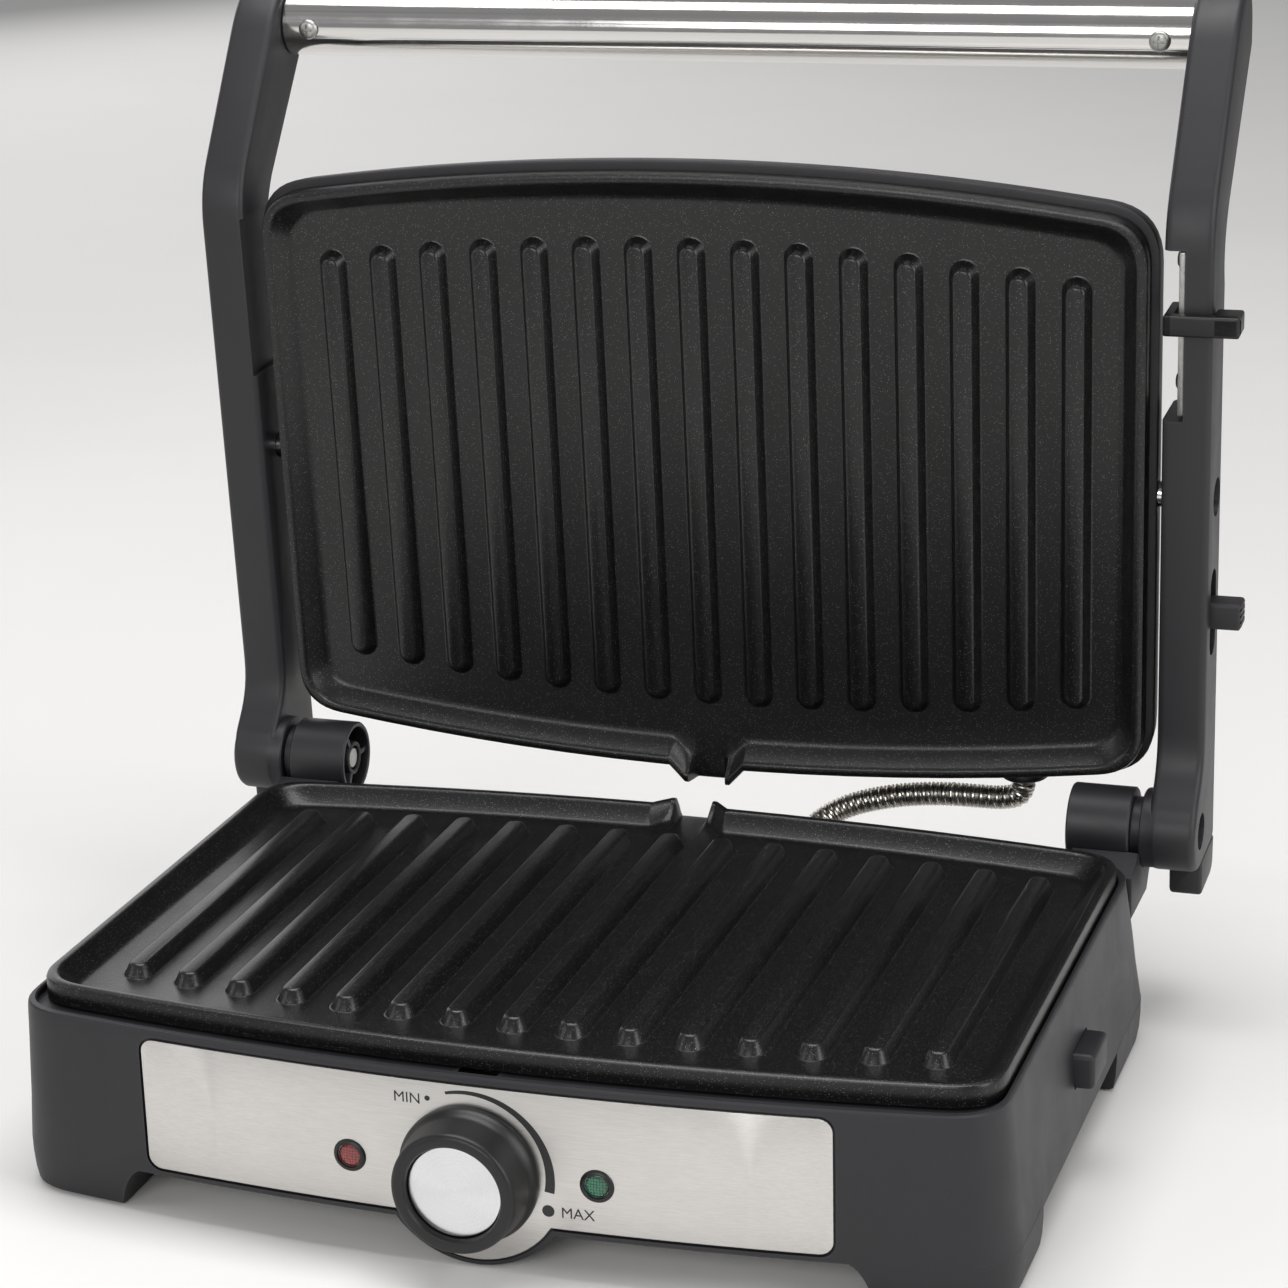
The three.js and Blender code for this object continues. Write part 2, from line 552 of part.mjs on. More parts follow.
function armSolid(side) {
  const [x0, x1] = side > 0 ? [arm.inner, arm.outer] : [-arm.outer, -arm.inner];
  const at = (x, s, t) => [side * x, -s, t];
  const lug = new THREE.Shape();
  lug.moveTo(-12, 3);
  lug.lineTo(-12, arm.rear);
  lug.lineTo(-20, arm.rear - 1);
  lug.quadraticCurveTo(-24, arm.rear - 2, -24, arm.rear - 7);
  lug.lineTo(-24, 4);
  lug.lineTo(-22.5, 3);
  const lugX = side > 0 ? [154.5, arm.outer] : [-arm.outer, -154.5];
  const stub = rod(handle.radius - handle.wall - gap, at(134, handle.s, handle.t), at(151, handle.s, handle.t), 20);
  const boss = rod(arm.bossRadius - 0.3, at(arm.bossInner, 0, 0), at(arm.inner + 1, 0, 0), 32);
  const screwHole = rod(1.7, at(handle.screwX, handle.s, handle.t - 12), at(handle.screwX, handle.s, handle.t + 6), 10);
  return cut(
    join(pushAlongX(armProfile(), x0, x1), pushAlongX(lug, ...lugX), stub, boss),
    screwHole,
    rod(4.3, at(145, 0, 0), at(161, 0, 0), 16),
    rod(6, at(160.3, 0, 0), at(170, 0, 0), 20),
    rod(pivot.radius + gap, at(145, pivot.s, pivot.t), at(162, pivot.s, pivot.t), 16),
    rod(6.1, at(160.3, pivot.s, pivot.t), at(170, pivot.s, pivot.t), 20));
}

const track = { low: 135, high: 186, x0: 154.3, x1: 156.2, screwLow: 144, screwHigh: 182 };
const heightSlider = { s: 165, halfTall: 3.2, reach: 173.5 };
const slot = { s: 69, t: 14, radius: 5, halfLength: 9.2 };

function slotShape(radius, halfLength) {
  const shape = new THREE.Shape();
  shape.absarc(slot.s + halfLength, slot.t, radius, -Math.PI / 2, Math.PI / 2, false);
  shape.absarc(slot.s - halfLength, slot.t, radius, Math.PI / 2, 1.5 * Math.PI, false);
  return shape;
}

function rightArm() {
  const notch = block(149, 156.5, -track.high - 1, -track.low + 1, arm.front - 5, arm.rear + 5);
  const screwHoles = [track.screwLow, track.screwHigh].map((s) => rod(1.7, [150, -s, 13], [162, -s, 13], 10));
  return cut(armSolid(1), notch, pushAlongX(slotShape(slot.radius, slot.halfLength), 156.8, 166), ...screwHoles);
}

function arms() {
  place("arm_left", material.plastic, armSolid(-1), lid);
  place("arm_right", material.plastic, rightArm(), lid);
  const end = arm.inner - gap;
  const axis = [-handle.s, handle.t];
  const tube = cut(
    rod(handle.radius, [-end, ...axis], [end, ...axis], 32),
    rod(handle.radius - handle.wall, [-end - 1, ...axis], [end + 1, ...axis], 28),
    ...sides.map(([, side]) => rod(1.9, [side * handle.screwX, -handle.s, handle.t - 12],
      [side * handle.screwX, -handle.s, handle.t - 6], 10)));
  place("handle_tube", material.polishedSteel, tube, lid);
  for (const [name, side] of sides) {
    place(`handle_screw_${name}`, material.zinc, screw(3.3, 1.4, 1.6, 9,
      [side * handle.screwX, -handle.s, handle.t - handle.radius - gap], [0, 0, -1]), lid);
    const at = (x) => [side * x, -pivot.s, pivot.t];
    place(`float_pin_${name}`, material.polishedSteel,
      join(rod(pivot.radius, at(143.6), at(161.2), 16), rod(5.6, at(161), at(163.4), 20)), lid);
  }
}

function sliders() {
  const plateHoles = [track.screwLow, track.screwHigh].map((s) => rod(1.8, [150, -s, 13], [160, -s, 13], 10));
  place("height_track", material.zinc,
    cut(block(track.x0, track.x1, -track.high, -track.low, 5, 22), ...plateHoles), lid);
  [track.screwLow, track.screwHigh].forEach((s, i) => place(`track_screw_${i + 1}`, material.zinc,
    screw(2.9, 1.4, 1.5, 6, [track.x0 - gap, -s, 13], [-1, 0, 0]), lid));
  const { s, halfTall: h } = heightSlider;
  place("height_slider", material.plastic, join(
    block(150.6, heightSlider.reach, -s - h, -s + h, -1.6, arm.front - gap),
    block(150.6, 153.6, -s - h, -s + h, -1.6, 15),
    block(arm.outer + gap, heightSlider.reach, -s - h, -s + h, -1.6, 9)), lid);
  place("lid_release_slider", material.plastic,
    block(157.2, 174.4, -slot.s - 4.35, -slot.s + 4.35, slot.t - 4.4, slot.t + 4.4), lid);
}

// lid: floating upper housing
// Outlines here are drawn about the middle of the plate and moved to the lid's frame at the end.
const housing = {
  halfWidth: 147.4, front: upper.front - 2.6 - upperMiddle, rear: upper.rear + 2.2 - upperMiddle, corner: 16,
};
const housingLow = upper.floor - plate.rimHeight + plate.flange + gap;
const housingSplit = 27.8;
const housingBrim = { ...housing, front: housing.front + 3.5 };
const lidGland = { x: 104, t: 20.8 };
lidGland.y = housing.rear - bow * lidGland.x * lidGland.x;

function upperFrame() {
  const walls = bowedLoft([
    { ...housing, z: housingLow },
    { ...housing, halfWidth: 147, front: housing.front + 1, z: 19.8 },
    { ...housingBrim, halfWidth: 145.8, rear: housing.rear - 1, z: housingSplit },
  ]);
  const opening = bowedLoft([{ ...housing, z: housingLow - 1 }, { ...housing, z: housingLow + 3 }], 8.4);
  const inside = loft([
    { outline: bowedOutline(housing, 2.8), z: housingLow + 2.4 },
    { outline: bowedOutline(housingBrim, 4.4), z: housingSplit + 1 },
  ]);
  const glandHole = rod(6.3, [lidGland.x, lidGland.y - 8, lidGland.t], [lidGland.x, lidGland.y + 3, lidGland.t], 16);
  const pivotHoles = sides.map(([, side]) => rod(pivot.radius + gap,
    [side * 140, -pivot.s - upperMiddle, pivot.t], [side * 150, -pivot.s - upperMiddle, pivot.t], 16));
  const spoutNotch = block(-spout.wide - 0.5, spout.wide + 0.5, housing.rear - 10, housing.rear + 3,
    housingLow - 1, upper.floor + spout.floor + 0.4);
  return cut(walls, opening, inside, glandHole, spoutNotch, ...pivotHoles);
}

// Pressed steel cover: a domed shell that closes the back of the frame.
function topCover() {
  const dome = (inset) => loft([
    { outline: bowedOutline(housingBrim, 2.2 + inset), z: inset ? housingSplit - 1 : housingSplit + gap },
    { outline: bowedOutline({ ...housingBrim, front: housingBrim.front + 2 }, 3.4 + inset), z: 35.8 - inset },
    { outline: bowedOutline({ ...housingBrim, front: housingBrim.front + 4 }, 9 + inset), z: 42.3 - inset },
    { outline: bowedOutline({ ...housingBrim, front: housingBrim.front + 4 }, 26 + inset), z: 45.3 - inset },
  ]);
  return cut(dome(0), dome(1));
}

function conduitGland() {
  const { x, y, t } = lidGland;
  return cut(
    join(rod(6, [x, y - 9, t], [x, y + 1.6, t], 16), rod(8, [x, y + 0.8, t], [x, y + 3, t], 16)),
    rod(4.4, [x, y - 12, t], [x, y + 5, t], 12));
}

function lidHousing() {
  const toLid = (shape) => shape.translate([0, upperMiddle, 0]);
  const elementT = upper.floor + plate.floorThickness + gap + 3.4;
  const tray = reflector(-elementT - 5.5, 5, upper.front - upperMiddle, upper.rear - upperMiddle);
  place("upper_frame", material.plastic, toLid(upperFrame()), lid);
  place("top_cover", material.brushedSteel, toLid(topCover()), lid);
  place("upper_element", material.zinc, toLid(heatingElement(elementT, 0, 8)), lid);
  place("upper_reflector", material.brushedSteel, toLid(tray.rotate([0, 180, 0])), lid);
  place("conduit_gland_lid", material.plastic, toLid(conduitGland()), lid);
}

// Steel-sheathed conduit that feeds the upper element. It is two flexible lengths that meet in mid-air,
// because one bends as the arms swing and the other as the housing tilts.
function conduits() {
  const { x, z } = conduit;
  place("conduit_lower", material.sheath, sweep(conduit.radius, [
    [x, 109.8, z], [x, 116, z + 0.2], [33, 123, 48.5], [39, 128.5, 53], [48, 130.8, 57],
    [60, 131, 60.4], [71, 131, 62.2], [80, 131, 62.9],
  ], 22, 8));
  place("conduit_upper", material.sheath, sweep(conduit.radius, [
    [80.4, 131, 62.9], [88, 131, 63], [96, 131, 63.2], [102, 130.9, 64.9], [104, 130.8, 69.8],
  ], 12, 8));
}

// build
plates();
baseParts();
controls();
releaseButton();
hinges();
arms();
sliders();
lidHousing();
conduits();

export default press;
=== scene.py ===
import math
import json
import bpy
import bmesh
from mathutils import Matrix, Vector


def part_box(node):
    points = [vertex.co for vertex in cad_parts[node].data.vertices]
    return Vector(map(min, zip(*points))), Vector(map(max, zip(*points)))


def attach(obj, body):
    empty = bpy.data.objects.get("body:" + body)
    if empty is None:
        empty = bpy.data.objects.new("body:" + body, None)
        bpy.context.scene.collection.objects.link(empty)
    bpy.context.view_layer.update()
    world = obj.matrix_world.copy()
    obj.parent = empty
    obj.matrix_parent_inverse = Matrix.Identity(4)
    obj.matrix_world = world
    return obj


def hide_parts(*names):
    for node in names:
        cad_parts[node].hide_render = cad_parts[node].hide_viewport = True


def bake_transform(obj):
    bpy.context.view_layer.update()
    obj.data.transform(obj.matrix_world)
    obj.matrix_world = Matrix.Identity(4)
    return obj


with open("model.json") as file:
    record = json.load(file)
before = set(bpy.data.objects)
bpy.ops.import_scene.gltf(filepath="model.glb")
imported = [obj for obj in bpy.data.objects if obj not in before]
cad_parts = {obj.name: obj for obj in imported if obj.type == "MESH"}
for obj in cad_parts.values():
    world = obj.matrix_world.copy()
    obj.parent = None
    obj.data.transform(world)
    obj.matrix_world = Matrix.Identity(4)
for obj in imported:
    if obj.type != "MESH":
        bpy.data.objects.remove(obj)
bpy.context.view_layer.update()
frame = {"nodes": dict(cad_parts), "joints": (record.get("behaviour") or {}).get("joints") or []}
mm = 0.001


def placed(name, data):    # puts a new object in the scene
    obj = bpy.data.objects.new(name, data)
    bpy.context.scene.collection.objects.link(obj)
    return obj


# camera
cameraLook = {"place": (0.3322, -0.9448, 0.4715), "azimuth": 20.564, "elevation": 20.206, "roll": -2.266,
              "sensor": 36.0, "lens": 99.12, "shift": (0.0941, 0.1180)}


def makeCamera(look):
    az, el, roll = (math.radians(look[k]) for k in ("azimuth", "elevation", "roll"))
    back = Vector((math.sin(az) * math.cos(el), -math.cos(az) * math.cos(el), math.sin(el)))
    right = Vector((math.cos(az), math.sin(az), 0))
    up = back.cross(right)
    across = math.cos(roll) * right + math.sin(roll) * up
    upright = -math.sin(roll) * right + math.cos(roll) * up
    data = bpy.data.cameras.new("camera")
    data.sensor_width, data.lens = look["sensor"], look["lens"]
    data.shift_x, data.shift_y = look["shift"]
    data.clip_start, data.clip_end = 0.05, 30
    cam = placed("camera", data)
    turn = Matrix((across, upright, back)).transposed().to_4x4()
    cam.matrix_world = Matrix.Translation(look["place"]) @ turn
    bpy.context.scene.camera = cam


makeCamera(cameraLook)
print("camera made")


# places taken from the frame
hinge = next(j for j in frame["joints"] if j["name"] == "lid_hinge")
hingeAt = Vector(hinge["pos_m"]) / mm
lidPlace = Matrix.Translation(hingeAt) @ Matrix.Rotation(math.radians(hinge["range_deg"][0]), 4, "X")
bow = 5.4e-4    # y grows by bow * x * x along a curved edge
upperMiddle = -105.05    # middle of the upper plate, from the hinge, in the lid's frame
lidMiddle = lidPlace @ Matrix.Translation((0, upperMiddle, 0))


# small modelling helpers, all in millimetres
def merged(*shapes):
    whole = bmesh.new()
    for shape in shapes:
        carrier = bpy.data.meshes.new("carrier")
        shape.to_mesh(carrier)
        shape.free()
        whole.from_mesh(carrier)
        bpy.data.meshes.remove(carrier)
    return whole


def bevelEdges(bm, edges, offset, segments=3):
    bmesh.ops.bevel(bm, geom=edges, offset=offset, segments=segments, profile=0.5, affect="EDGES",
                    offset_type="OFFSET", clamp_overlap=True, material=-1)


def block(low, high, round=0.0, segments=3):
    bm = bmesh.new()
    bmesh.ops.create_cube(bm, size=1)
    low, high = Vector(low), Vector(high)
    bmesh.ops.scale(bm, vec=high - low, verts=bm.verts)
    bmesh.ops.translate(bm, vec=(low + high) / 2, verts=bm.verts)
    if round:
        bevelEdges(bm, bm.edges[:], round, segments)
    return bm


def aim(bm, start, direction):
    turn = Vector(direction).to_track_quat("Z", "Y").to_matrix().to_4x4()
    bmesh.ops.transform(bm, matrix=Matrix.Translation(start) @ turn, verts=bm.verts)
    return bm


def rod(radius, start, end, sides=48, endRadius=None):
    start, end = Vector(start), Vector(end)
    length = (end - start).length
    bm = bmesh.new()
    bmesh.ops.create_cone(bm, cap_ends=True, segments=sides, radius1=radius,
                          radius2=radius if endRadius is None else endRadius, depth=length)
    bmesh.ops.translate(bm, vec=(0, 0, length / 2), verts=bm.verts)
    return aim(bm, start, end - start)


def turned(profile, start, direction, steps=64):    # profile of (radius, height), lathe-turned
    bm = bmesh.new()
    verts = [bm.verts.new((r, 0, h)) for r, h in profile]
    edges = [bm.edges.new(pair) for pair in zip(verts, verts[1:])]
    if profile[0][0] > 0 and profile[-1][0] > 0:
        edges.append(bm.edges.new((verts[-1], verts[0])))
    bmesh.ops.spin(bm, geom=verts + edges, cent=(0, 0, 0), axis=(0, 0, 1), angle=math.tau,
                   steps=steps, use_merge=True)
    bmesh.ops.remove_doubles(bm, verts=bm.verts, dist=1e-4)
    bmesh.ops.recalc_face_normals(bm, faces=bm.faces)
    return aim(bm, start, direction)


def stacked(loops, closed=True):    # one face drawn through a stack of outlines
    bm = bmesh.new()
    face = bm.faces.new([bm.verts.new(p) for p in loops[0]])
    if closed:
        bmesh.ops.duplicate(bm, geom=[face])
    for loop in loops[1:]:
        face = bmesh.ops.extrude_discrete_faces(bm, faces=[face])["faces"][0]
        for corner, p in zip(face.loops, loop):
            corner.vert.co = p
    if not closed:
        bmesh.ops.delete(bm, geom=[face], context="FACES_ONLY")
    bmesh.ops.remove_doubles(bm, verts=bm.verts, dist=1e-4)
    bmesh.ops.recalc_face_normals(bm, faces=bm.faces)
    return bm


def drawnOut(bm, faces, offset):    # thickens flat faces into a closed solid, gives the new vertices
    new = bmesh.ops.extrude_face_region(bm, geom=faces, use_keep_orig=True)["geom"]
    verts = [g for g in new if isinstance(g, bmesh.types.BMVert)]
    bmesh.ops.translate(bm, vec=offset, verts=verts)
    bmesh.ops.recalc_face_normals(bm, faces=bm.faces)
    return verts


def pushed(outline, x0, x1, round=0.0, segments=4):    # side outline of (s, t) pushed along X
    bm = bmesh.new()
    drawnOut(bm, [bm.faces.new([bm.verts.new((x0, -s, t)) for s, t in outline])], (x1 - x0, 0, 0))
    if round:
        rims = [e for e in bm.edges if abs(e.verts[0].co.x - e.verts[1].co.x) < 1e-6]
        bevelEdges(bm, rims, round, segments)
    return bm


def asObject(bm):
    mesh = bpy.data.meshes.new("working")
    bm.to_mesh(mesh)
    bm.free()
    return placed("working", mesh)


def workedOut(obj):    # takes an object's final shape, with modifiers, curve or text, and drops the object
    bpy.context.view_layer.update()
    mesh = bpy.data.meshes.new_from_object(obj.evaluated_get(bpy.context.evaluated_depsgraph_get()))
    bm = bmesh.new()
    bm.from_mesh(mesh)
    bpy.data.meshes.remove(mesh)
    bpy.data.objects.remove(obj)
    return bm


def worked(bm, tools, operation="DIFFERENCE"):    # boolean with each tool in turn
    body = asObject(bm)
    helpers = [asObject(tool) for tool in tools]
    for helper in helpers:
        step = body.modifiers.new("step", "BOOLEAN")
        step.operation, step.object, step.solver = operation, helper, "EXACT"
    out = workedOut(body)
    for helper in helpers:
        bpy.data.objects.remove(helper)
    for mesh in [m for m in bpy.data.meshes if m.name.startswith("working") and not m.users]:
        bpy.data.meshes.remove(mesh)
    bmesh.ops.remove_doubles(out, verts=out.verts, dist=1e-4)
    return out


def piece(name, bm, finish, body, nodes=(), place=Matrix.Identity(4), bevel=0.0, limit=40):
    bmesh.ops.transform(bm, matrix=Matrix.Scale(mm, 4) @ place, verts=bm.verts)
    mesh = bpy.data.meshes.new(name)
    bm.to_mesh(mesh)
    bm.free()
    mesh.materials.append(materials[finish])
    mesh.shade_smooth()
    mesh.set_sharp_from_angle(angle=math.radians(34))
    obj = placed(name, mesh)
    if bevel:
        soft = obj.modifiers.new("softEdges", "BEVEL")
        soft.width, soft.segments, soft.limit_method = bevel * mm, 2, "ANGLE"
        soft.angle_limit, soft.harden_normals = math.radians(limit), True
    if body:
        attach(obj, body)
    if nodes:
        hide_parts(*nodes)
    return obj


def quadratic(a, c, b, steps):    # points of a quadratic curve after its first
    a, c, b = Vector(a), Vector(c), Vector(b)
    return [tuple((1 - t) ** 2 * a + 2 * t * (1 - t) * c + t * t * b) for t in (i / steps for i in range(1, steps + 1))]


def spread(low, high, count):
    return [low + (high - low) * i / (count - 1) for i in range(count)]


# the bowed outline shared by plates, base and lid
def bowedOutline(shape, inset=0.0, z=0.0, rearMarks=()):
    w = shape["halfWidth"] - inset
    r = max(shape["corner"] - inset / 2, 4)
    edge = w - r
    rearBow = shape.get("rearBow", bow)
    frontAt = lambda x: shape["front"] + inset + bow * x * x
    rearAt = lambda x: shape["rear"] - inset - rearBow * x * x
    frontCorner = frontAt(edge) + 2 * bow * edge * r
    rearCorner = rearAt(edge) - 2 * rearBow * edge * r
    marks = [m * s for m in rearMarks for s in (1, -1)]
    frontX = spread(-edge, edge, 33)
    rearX = sorted(spread(-edge, edge, 17 if marks else 33) + marks, reverse=True)
    points = [(x, frontAt(x)) for x in frontX]
    points += quadratic((edge, frontAt(edge)), (w, frontCorner), (w, frontCorner + r), 9)
    points += quadratic((w, frontCorner + r), (w, 0), (w, rearCorner - r), 5)
    points += quadratic((w, rearCorner - r), (w, rearCorner), (edge, rearAt(edge)), 9)
    points += [(x, rearAt(x)) for x in rearX[1:]]
    points += quadratic((-edge, rearAt(edge)), (-w, rearCorner), (-w, rearCorner - r), 9)
    points += quadratic((-w, rearCorner - r), (-w, 0), (-w, frontCorner + r), 5)
    points += quadratic((-w, frontCorner + r), (-w, frontCorner), (-edge, frontAt(edge)), 9)[:-1]
    return [(x, y, z) for x, y in points]


# shader helpers: a value given to a socket is either a plain value or another socket
def feed(tree, value, socket):
    if isinstance(value, bpy.types.NodeSocket):
        tree.links.new(value, socket)
    else:
        socket.default_value = value


def node(tree, kind, **settings):
    made = tree.nodes.new("ShaderNode" + kind)
    for key, value in settings.items():
        if key in made.bl_rna.properties:
            setattr(made, key, value)
        else:
            feed(tree, value, made.inputs[key.replace("_", " ")])
    return made


def calc(tree, operation, *values, kind="Math", output="Value"):
    made = node(tree, kind, operation=operation)
    for value, socket in zip(values, made.inputs):
        feed(tree, value, socket)
    return made.outputs[output]


def nodeGroup(name, inputs, outputs):
    group = bpy.data.node_groups.new(name, "ShaderNodeTree")
    for label, value in inputs.items():
        kind = "NodeSocketVector" if isinstance(value, tuple) else "NodeSocketFloat"
        group.interface.new_socket(label, in_out="INPUT", socket_type=kind).default_value = value
    for label in outputs:
        group.interface.new_socket(label, in_out="OUTPUT", socket_type="NodeSocketFloat")
    into, out = group.nodes.new("NodeGroupInput"), group.nodes.new("NodeGroupOutput")
    return group, into.outputs, out.inputs


def objectPlace(tree):
    return node(tree, "TexCoord").outputs["Object"]


def makeGrainGroup():    # moulded or cast grain: a height, a slow drift of tone, and handling smudges
    group, given, out = nodeGroup("surfaceGrain", {"Grain Scale": 1500.0, "Drift Scale": 12.0},
                                  ("Height", "Drift", "Smudge"))
    place = objectPlace(group)
    noises = {"Height": {"Scale": given["Grain Scale"], "Detail": 3.0, "Roughness": 0.6},
              "Drift": {"Scale": given["Drift Scale"], "Detail": 4.0, "Roughness": 0.55},
              "Smudge": {"Scale": 38.0, "Detail": 6.0, "Roughness": 0.68, "Distortion": 0.6}}
    for label, settings in noises.items():
        feed(group, node(group, "TexNoise", Vector=place, **settings).outputs["Fac"], out[label])
    return group


def makeEdgeHighlightGroup():    # mask that rises along sharp edges, where a highlight is painted into the colour
    group, given, out = nodeGroup("edgeHighlightMask", {"Width": 0.0012}, ("Mask",))
    rounded = node(group, "Bevel", samples=4, Radius=given["Width"]).outputs["Normal"]
    surface = node(group, "NewGeometry").outputs["Normal"]
    facing = calc(group, "DOT_PRODUCT", rounded, surface, kind="VectorMath")
    feed(group, rangeOf(group, facing, 0.0, 1.0, 0.995, 0.86), out["Mask"])
    return group


def makeBrushGroup():    # long fine scratches along one direction
    group, given, out = nodeGroup("brushLines", {"Stretch": (4.0, 900.0, 900.0), "Fine": 1.0}, ("Lines", "Height"))
    stretch = calc(group, "MULTIPLY", objectPlace(group), given["Stretch"], kind="VectorMath", output="Vector")
    coarse = node(group, "TexNoise", Vector=stretch, Scale=1.0, Detail=2.0, Roughness=0.5).outputs["Fac"]
    fine = node(group, "TexNoise", Vector=stretch, Scale=given["Fine"], Detail=4.0, Roughness=0.75).outputs["Fac"]
    feed(group, calc(group, "MULTIPLY_ADD", fine, 0.5, calc(group, "MULTIPLY", coarse, 0.5)), out["Lines"])
    feed(group, fine, out["Height"])
    return group


def linear(hexColour):
    parts = [int(hexColour[i:i + 2], 16) / 255 for i in (0, 2, 4)]
    return [p / 12.92 if p <= 0.04045 else ((p + 0.055) / 1.055) ** 2.4 for p in parts] + [1.0]


def rampOf(tree, source, stops):
    ramp = node(tree, "ValToRGB", Fac=source)
    while len(ramp.color_ramp.elements) < len(stops):
        ramp.color_ramp.elements.new(0.5)
    for element, (at, colour) in zip(ramp.color_ramp.elements, stops):
        element.position, element.color = at, colour
    return ramp.outputs["Color"]


def toneOf(tree, source, look):    # drifts from the look's dark colour to its light one
    return rampOf(tree, source, [(0.3, linear(look["dark"])), (0.7, linear(look["light"]))])


def rangeOf(tree, source, low, high, fromLow=0.3, fromHigh=0.7):
    return node(tree, "MapRange", Value=source, From_Min=fromLow, From_Max=fromHigh, To_Min=low,
                To_Max=high).outputs["Result"]


def mixOf(tree, mask, a, b, kind="MIX"):
    mix = node(tree, "Mix", data_type="RGBA", blend_type=kind)
    for value, number in ((mask, 0), (a, 6), (b, 7)):    # the colour sockets share their names
        feed(tree, value, mix.inputs[number])
    return mix.outputs[2]


def startMaterial(name, **values):
    material = bpy.data.materials.new(name)
    material.use_nodes = True
    tree = material.node_tree
    shader = next(n for n in tree.nodes if n.type == "BSDF_PRINCIPLED")
    for key, value in values.items():
        shader.inputs[key.replace("_", " ")].default_value = value
    return material, tree, shader.inputs


def grainOf(tree, grainScale, driftScale):
    return node(tree, "Group", node_tree=grainGroup, Grain_Scale=grainScale, Drift_Scale=driftScale).outputs


# how much of the painted edge highlight colour is mixed in along sharp edges
def paintedEdgeHighlight(tree, width, share):
    mask = node(tree, "Group", node_tree=edgeHighlightGroup, Width=width).outputs["Mask"]
    return calc(tree, "MULTIPLY", mask, share)


def finishShader(tree, shader, colour, rough, height, strength, distance):
    bump = node(tree, "Bump", Strength=strength, Distance=distance, Height=height).outputs["Normal"]
    for value, label in ((colour, "Base Color"), (rough, "Roughness"), (bump, "Normal")):
        if value is not None:
            feed(tree, value, shader[label])


grainGroup, edgeHighlightGroup, brushGroup = makeGrainGroup(), makeEdgeHighlightGroup(), makeBrushGroup()
print("shader groups made")


# materials
# each look's edge colour is a painted highlight laid along sharp edges
plasticLooks = {
    "casePlastic": {"dark": "17161a", "light": "1d1c20", "edge": "38373c", "rough": (0.44, 0.54), "grain": 2600.0,
                    "bump": 0.16, "edgeHighlightShare": 0.35},
    "armPlastic": {"dark": "1c1c1f", "light": "232326", "edge": "424247", "rough": (0.42, 0.52), "grain": 2600.0,
                   "bump": 0.14, "edgeHighlightShare": 0.4},
    "knobPlastic": {"dark": "060607", "light": "0a0a0b", "edge": "202022", "rough": (0.36, 0.44), "grain": 3200.0,
                    "bump": 0.08, "edgeHighlightShare": 0.3},
    "rubber": {"dark": "141415", "light": "1d1d1e", "edge": "303031", "rough": (0.72, 0.86), "grain": 900.0,
               "bump": 0.3, "edgeHighlightShare": 0.2},
    "ceramic": {"dark": "c3bcaa", "light": "ddd7c8", "edge": "efeadd", "rough": (0.66, 0.8), "grain": 1300.0,
                "bump": 0.25, "edgeHighlightShare": 0.3},
    "print": {"dark": "202022", "light": "2b2b2d", "edge": "2b2b2d", "rough": (0.5, 0.62), "grain": 4000.0,
              "bump": 0.1, "edgeHighlightShare": 0.0},
}


def makePlastic(name, look):
    material, tree, shader = startMaterial(name)
    grain = grainOf(tree, look["grain"], 9.0)
    colour = toneOf(tree, grain["Drift"], look)
    # lightens sharp edges towards the edge colour: a painted highlight
    if look["edgeHighlightShare"]:
        colour = mixOf(tree, paintedEdgeHighlight(tree, 0.0011, look["edgeHighlightShare"]), colour, linear(look["edge"]))
    finishShader(tree, shader, colour, rangeOf(tree, grain["Smudge"], *look["rough"]), grain["Height"],
                 look["bump"], 0.0003)
    return material


# the edge colour is a painted highlight along the ribs' and rims' sharp edges
nonstickLook = {"dark": "080808", "light": "0e0e0e", "edge": "2a2a2a", "edgeHighlightShare": 0.25, "spark": "8e8c8a",
                "sparkShare": 0.2, "sparkScale": 2600.0, "rough": (0.29, 0.36), "bump": 0.16}


def makeNonstick(name, look):    # sprayed coating: fine orange peel with metallic flecks
    material, tree, shader = startMaterial(name)
    grain = grainOf(tree, 1100.0, 14.0)
    flecks = node(tree, "TexVoronoi", Vector=objectPlace(tree), Scale=look["sparkScale"], Randomness=1.0).outputs
    small = rangeOf(tree, flecks["Distance"], 1.0, 0.0, 0.12, 0.34)
    pick = node(tree, "SeparateColor", Color=flecks["Color"]).outputs["Red"]
    spark = calc(tree, "MULTIPLY", small, calc(tree, "LESS_THAN", pick, look["sparkShare"]))
    # the edge colour is mixed in along sharp edges as a painted highlight
    tone = mixOf(tree, paintedEdgeHighlight(tree, 0.0008, look["edgeHighlightShare"]), toneOf(tree, grain["Drift"], look), linear(look["edge"]))
    feed(tree, rangeOf(tree, spark, 0.0, 0.7, 0.0, 1.0), shader["Metallic"])
    finishShader(tree, shader, mixOf(tree, spark, tone, linear(look["spark"])),
                 rangeOf(tree, grain["Smudge"], *look["rough"]), calc(tree, "MULTIPLY_ADD", spark, 0.5, grain["Height"]),
                 look["bump"], 0.0003)
    return material


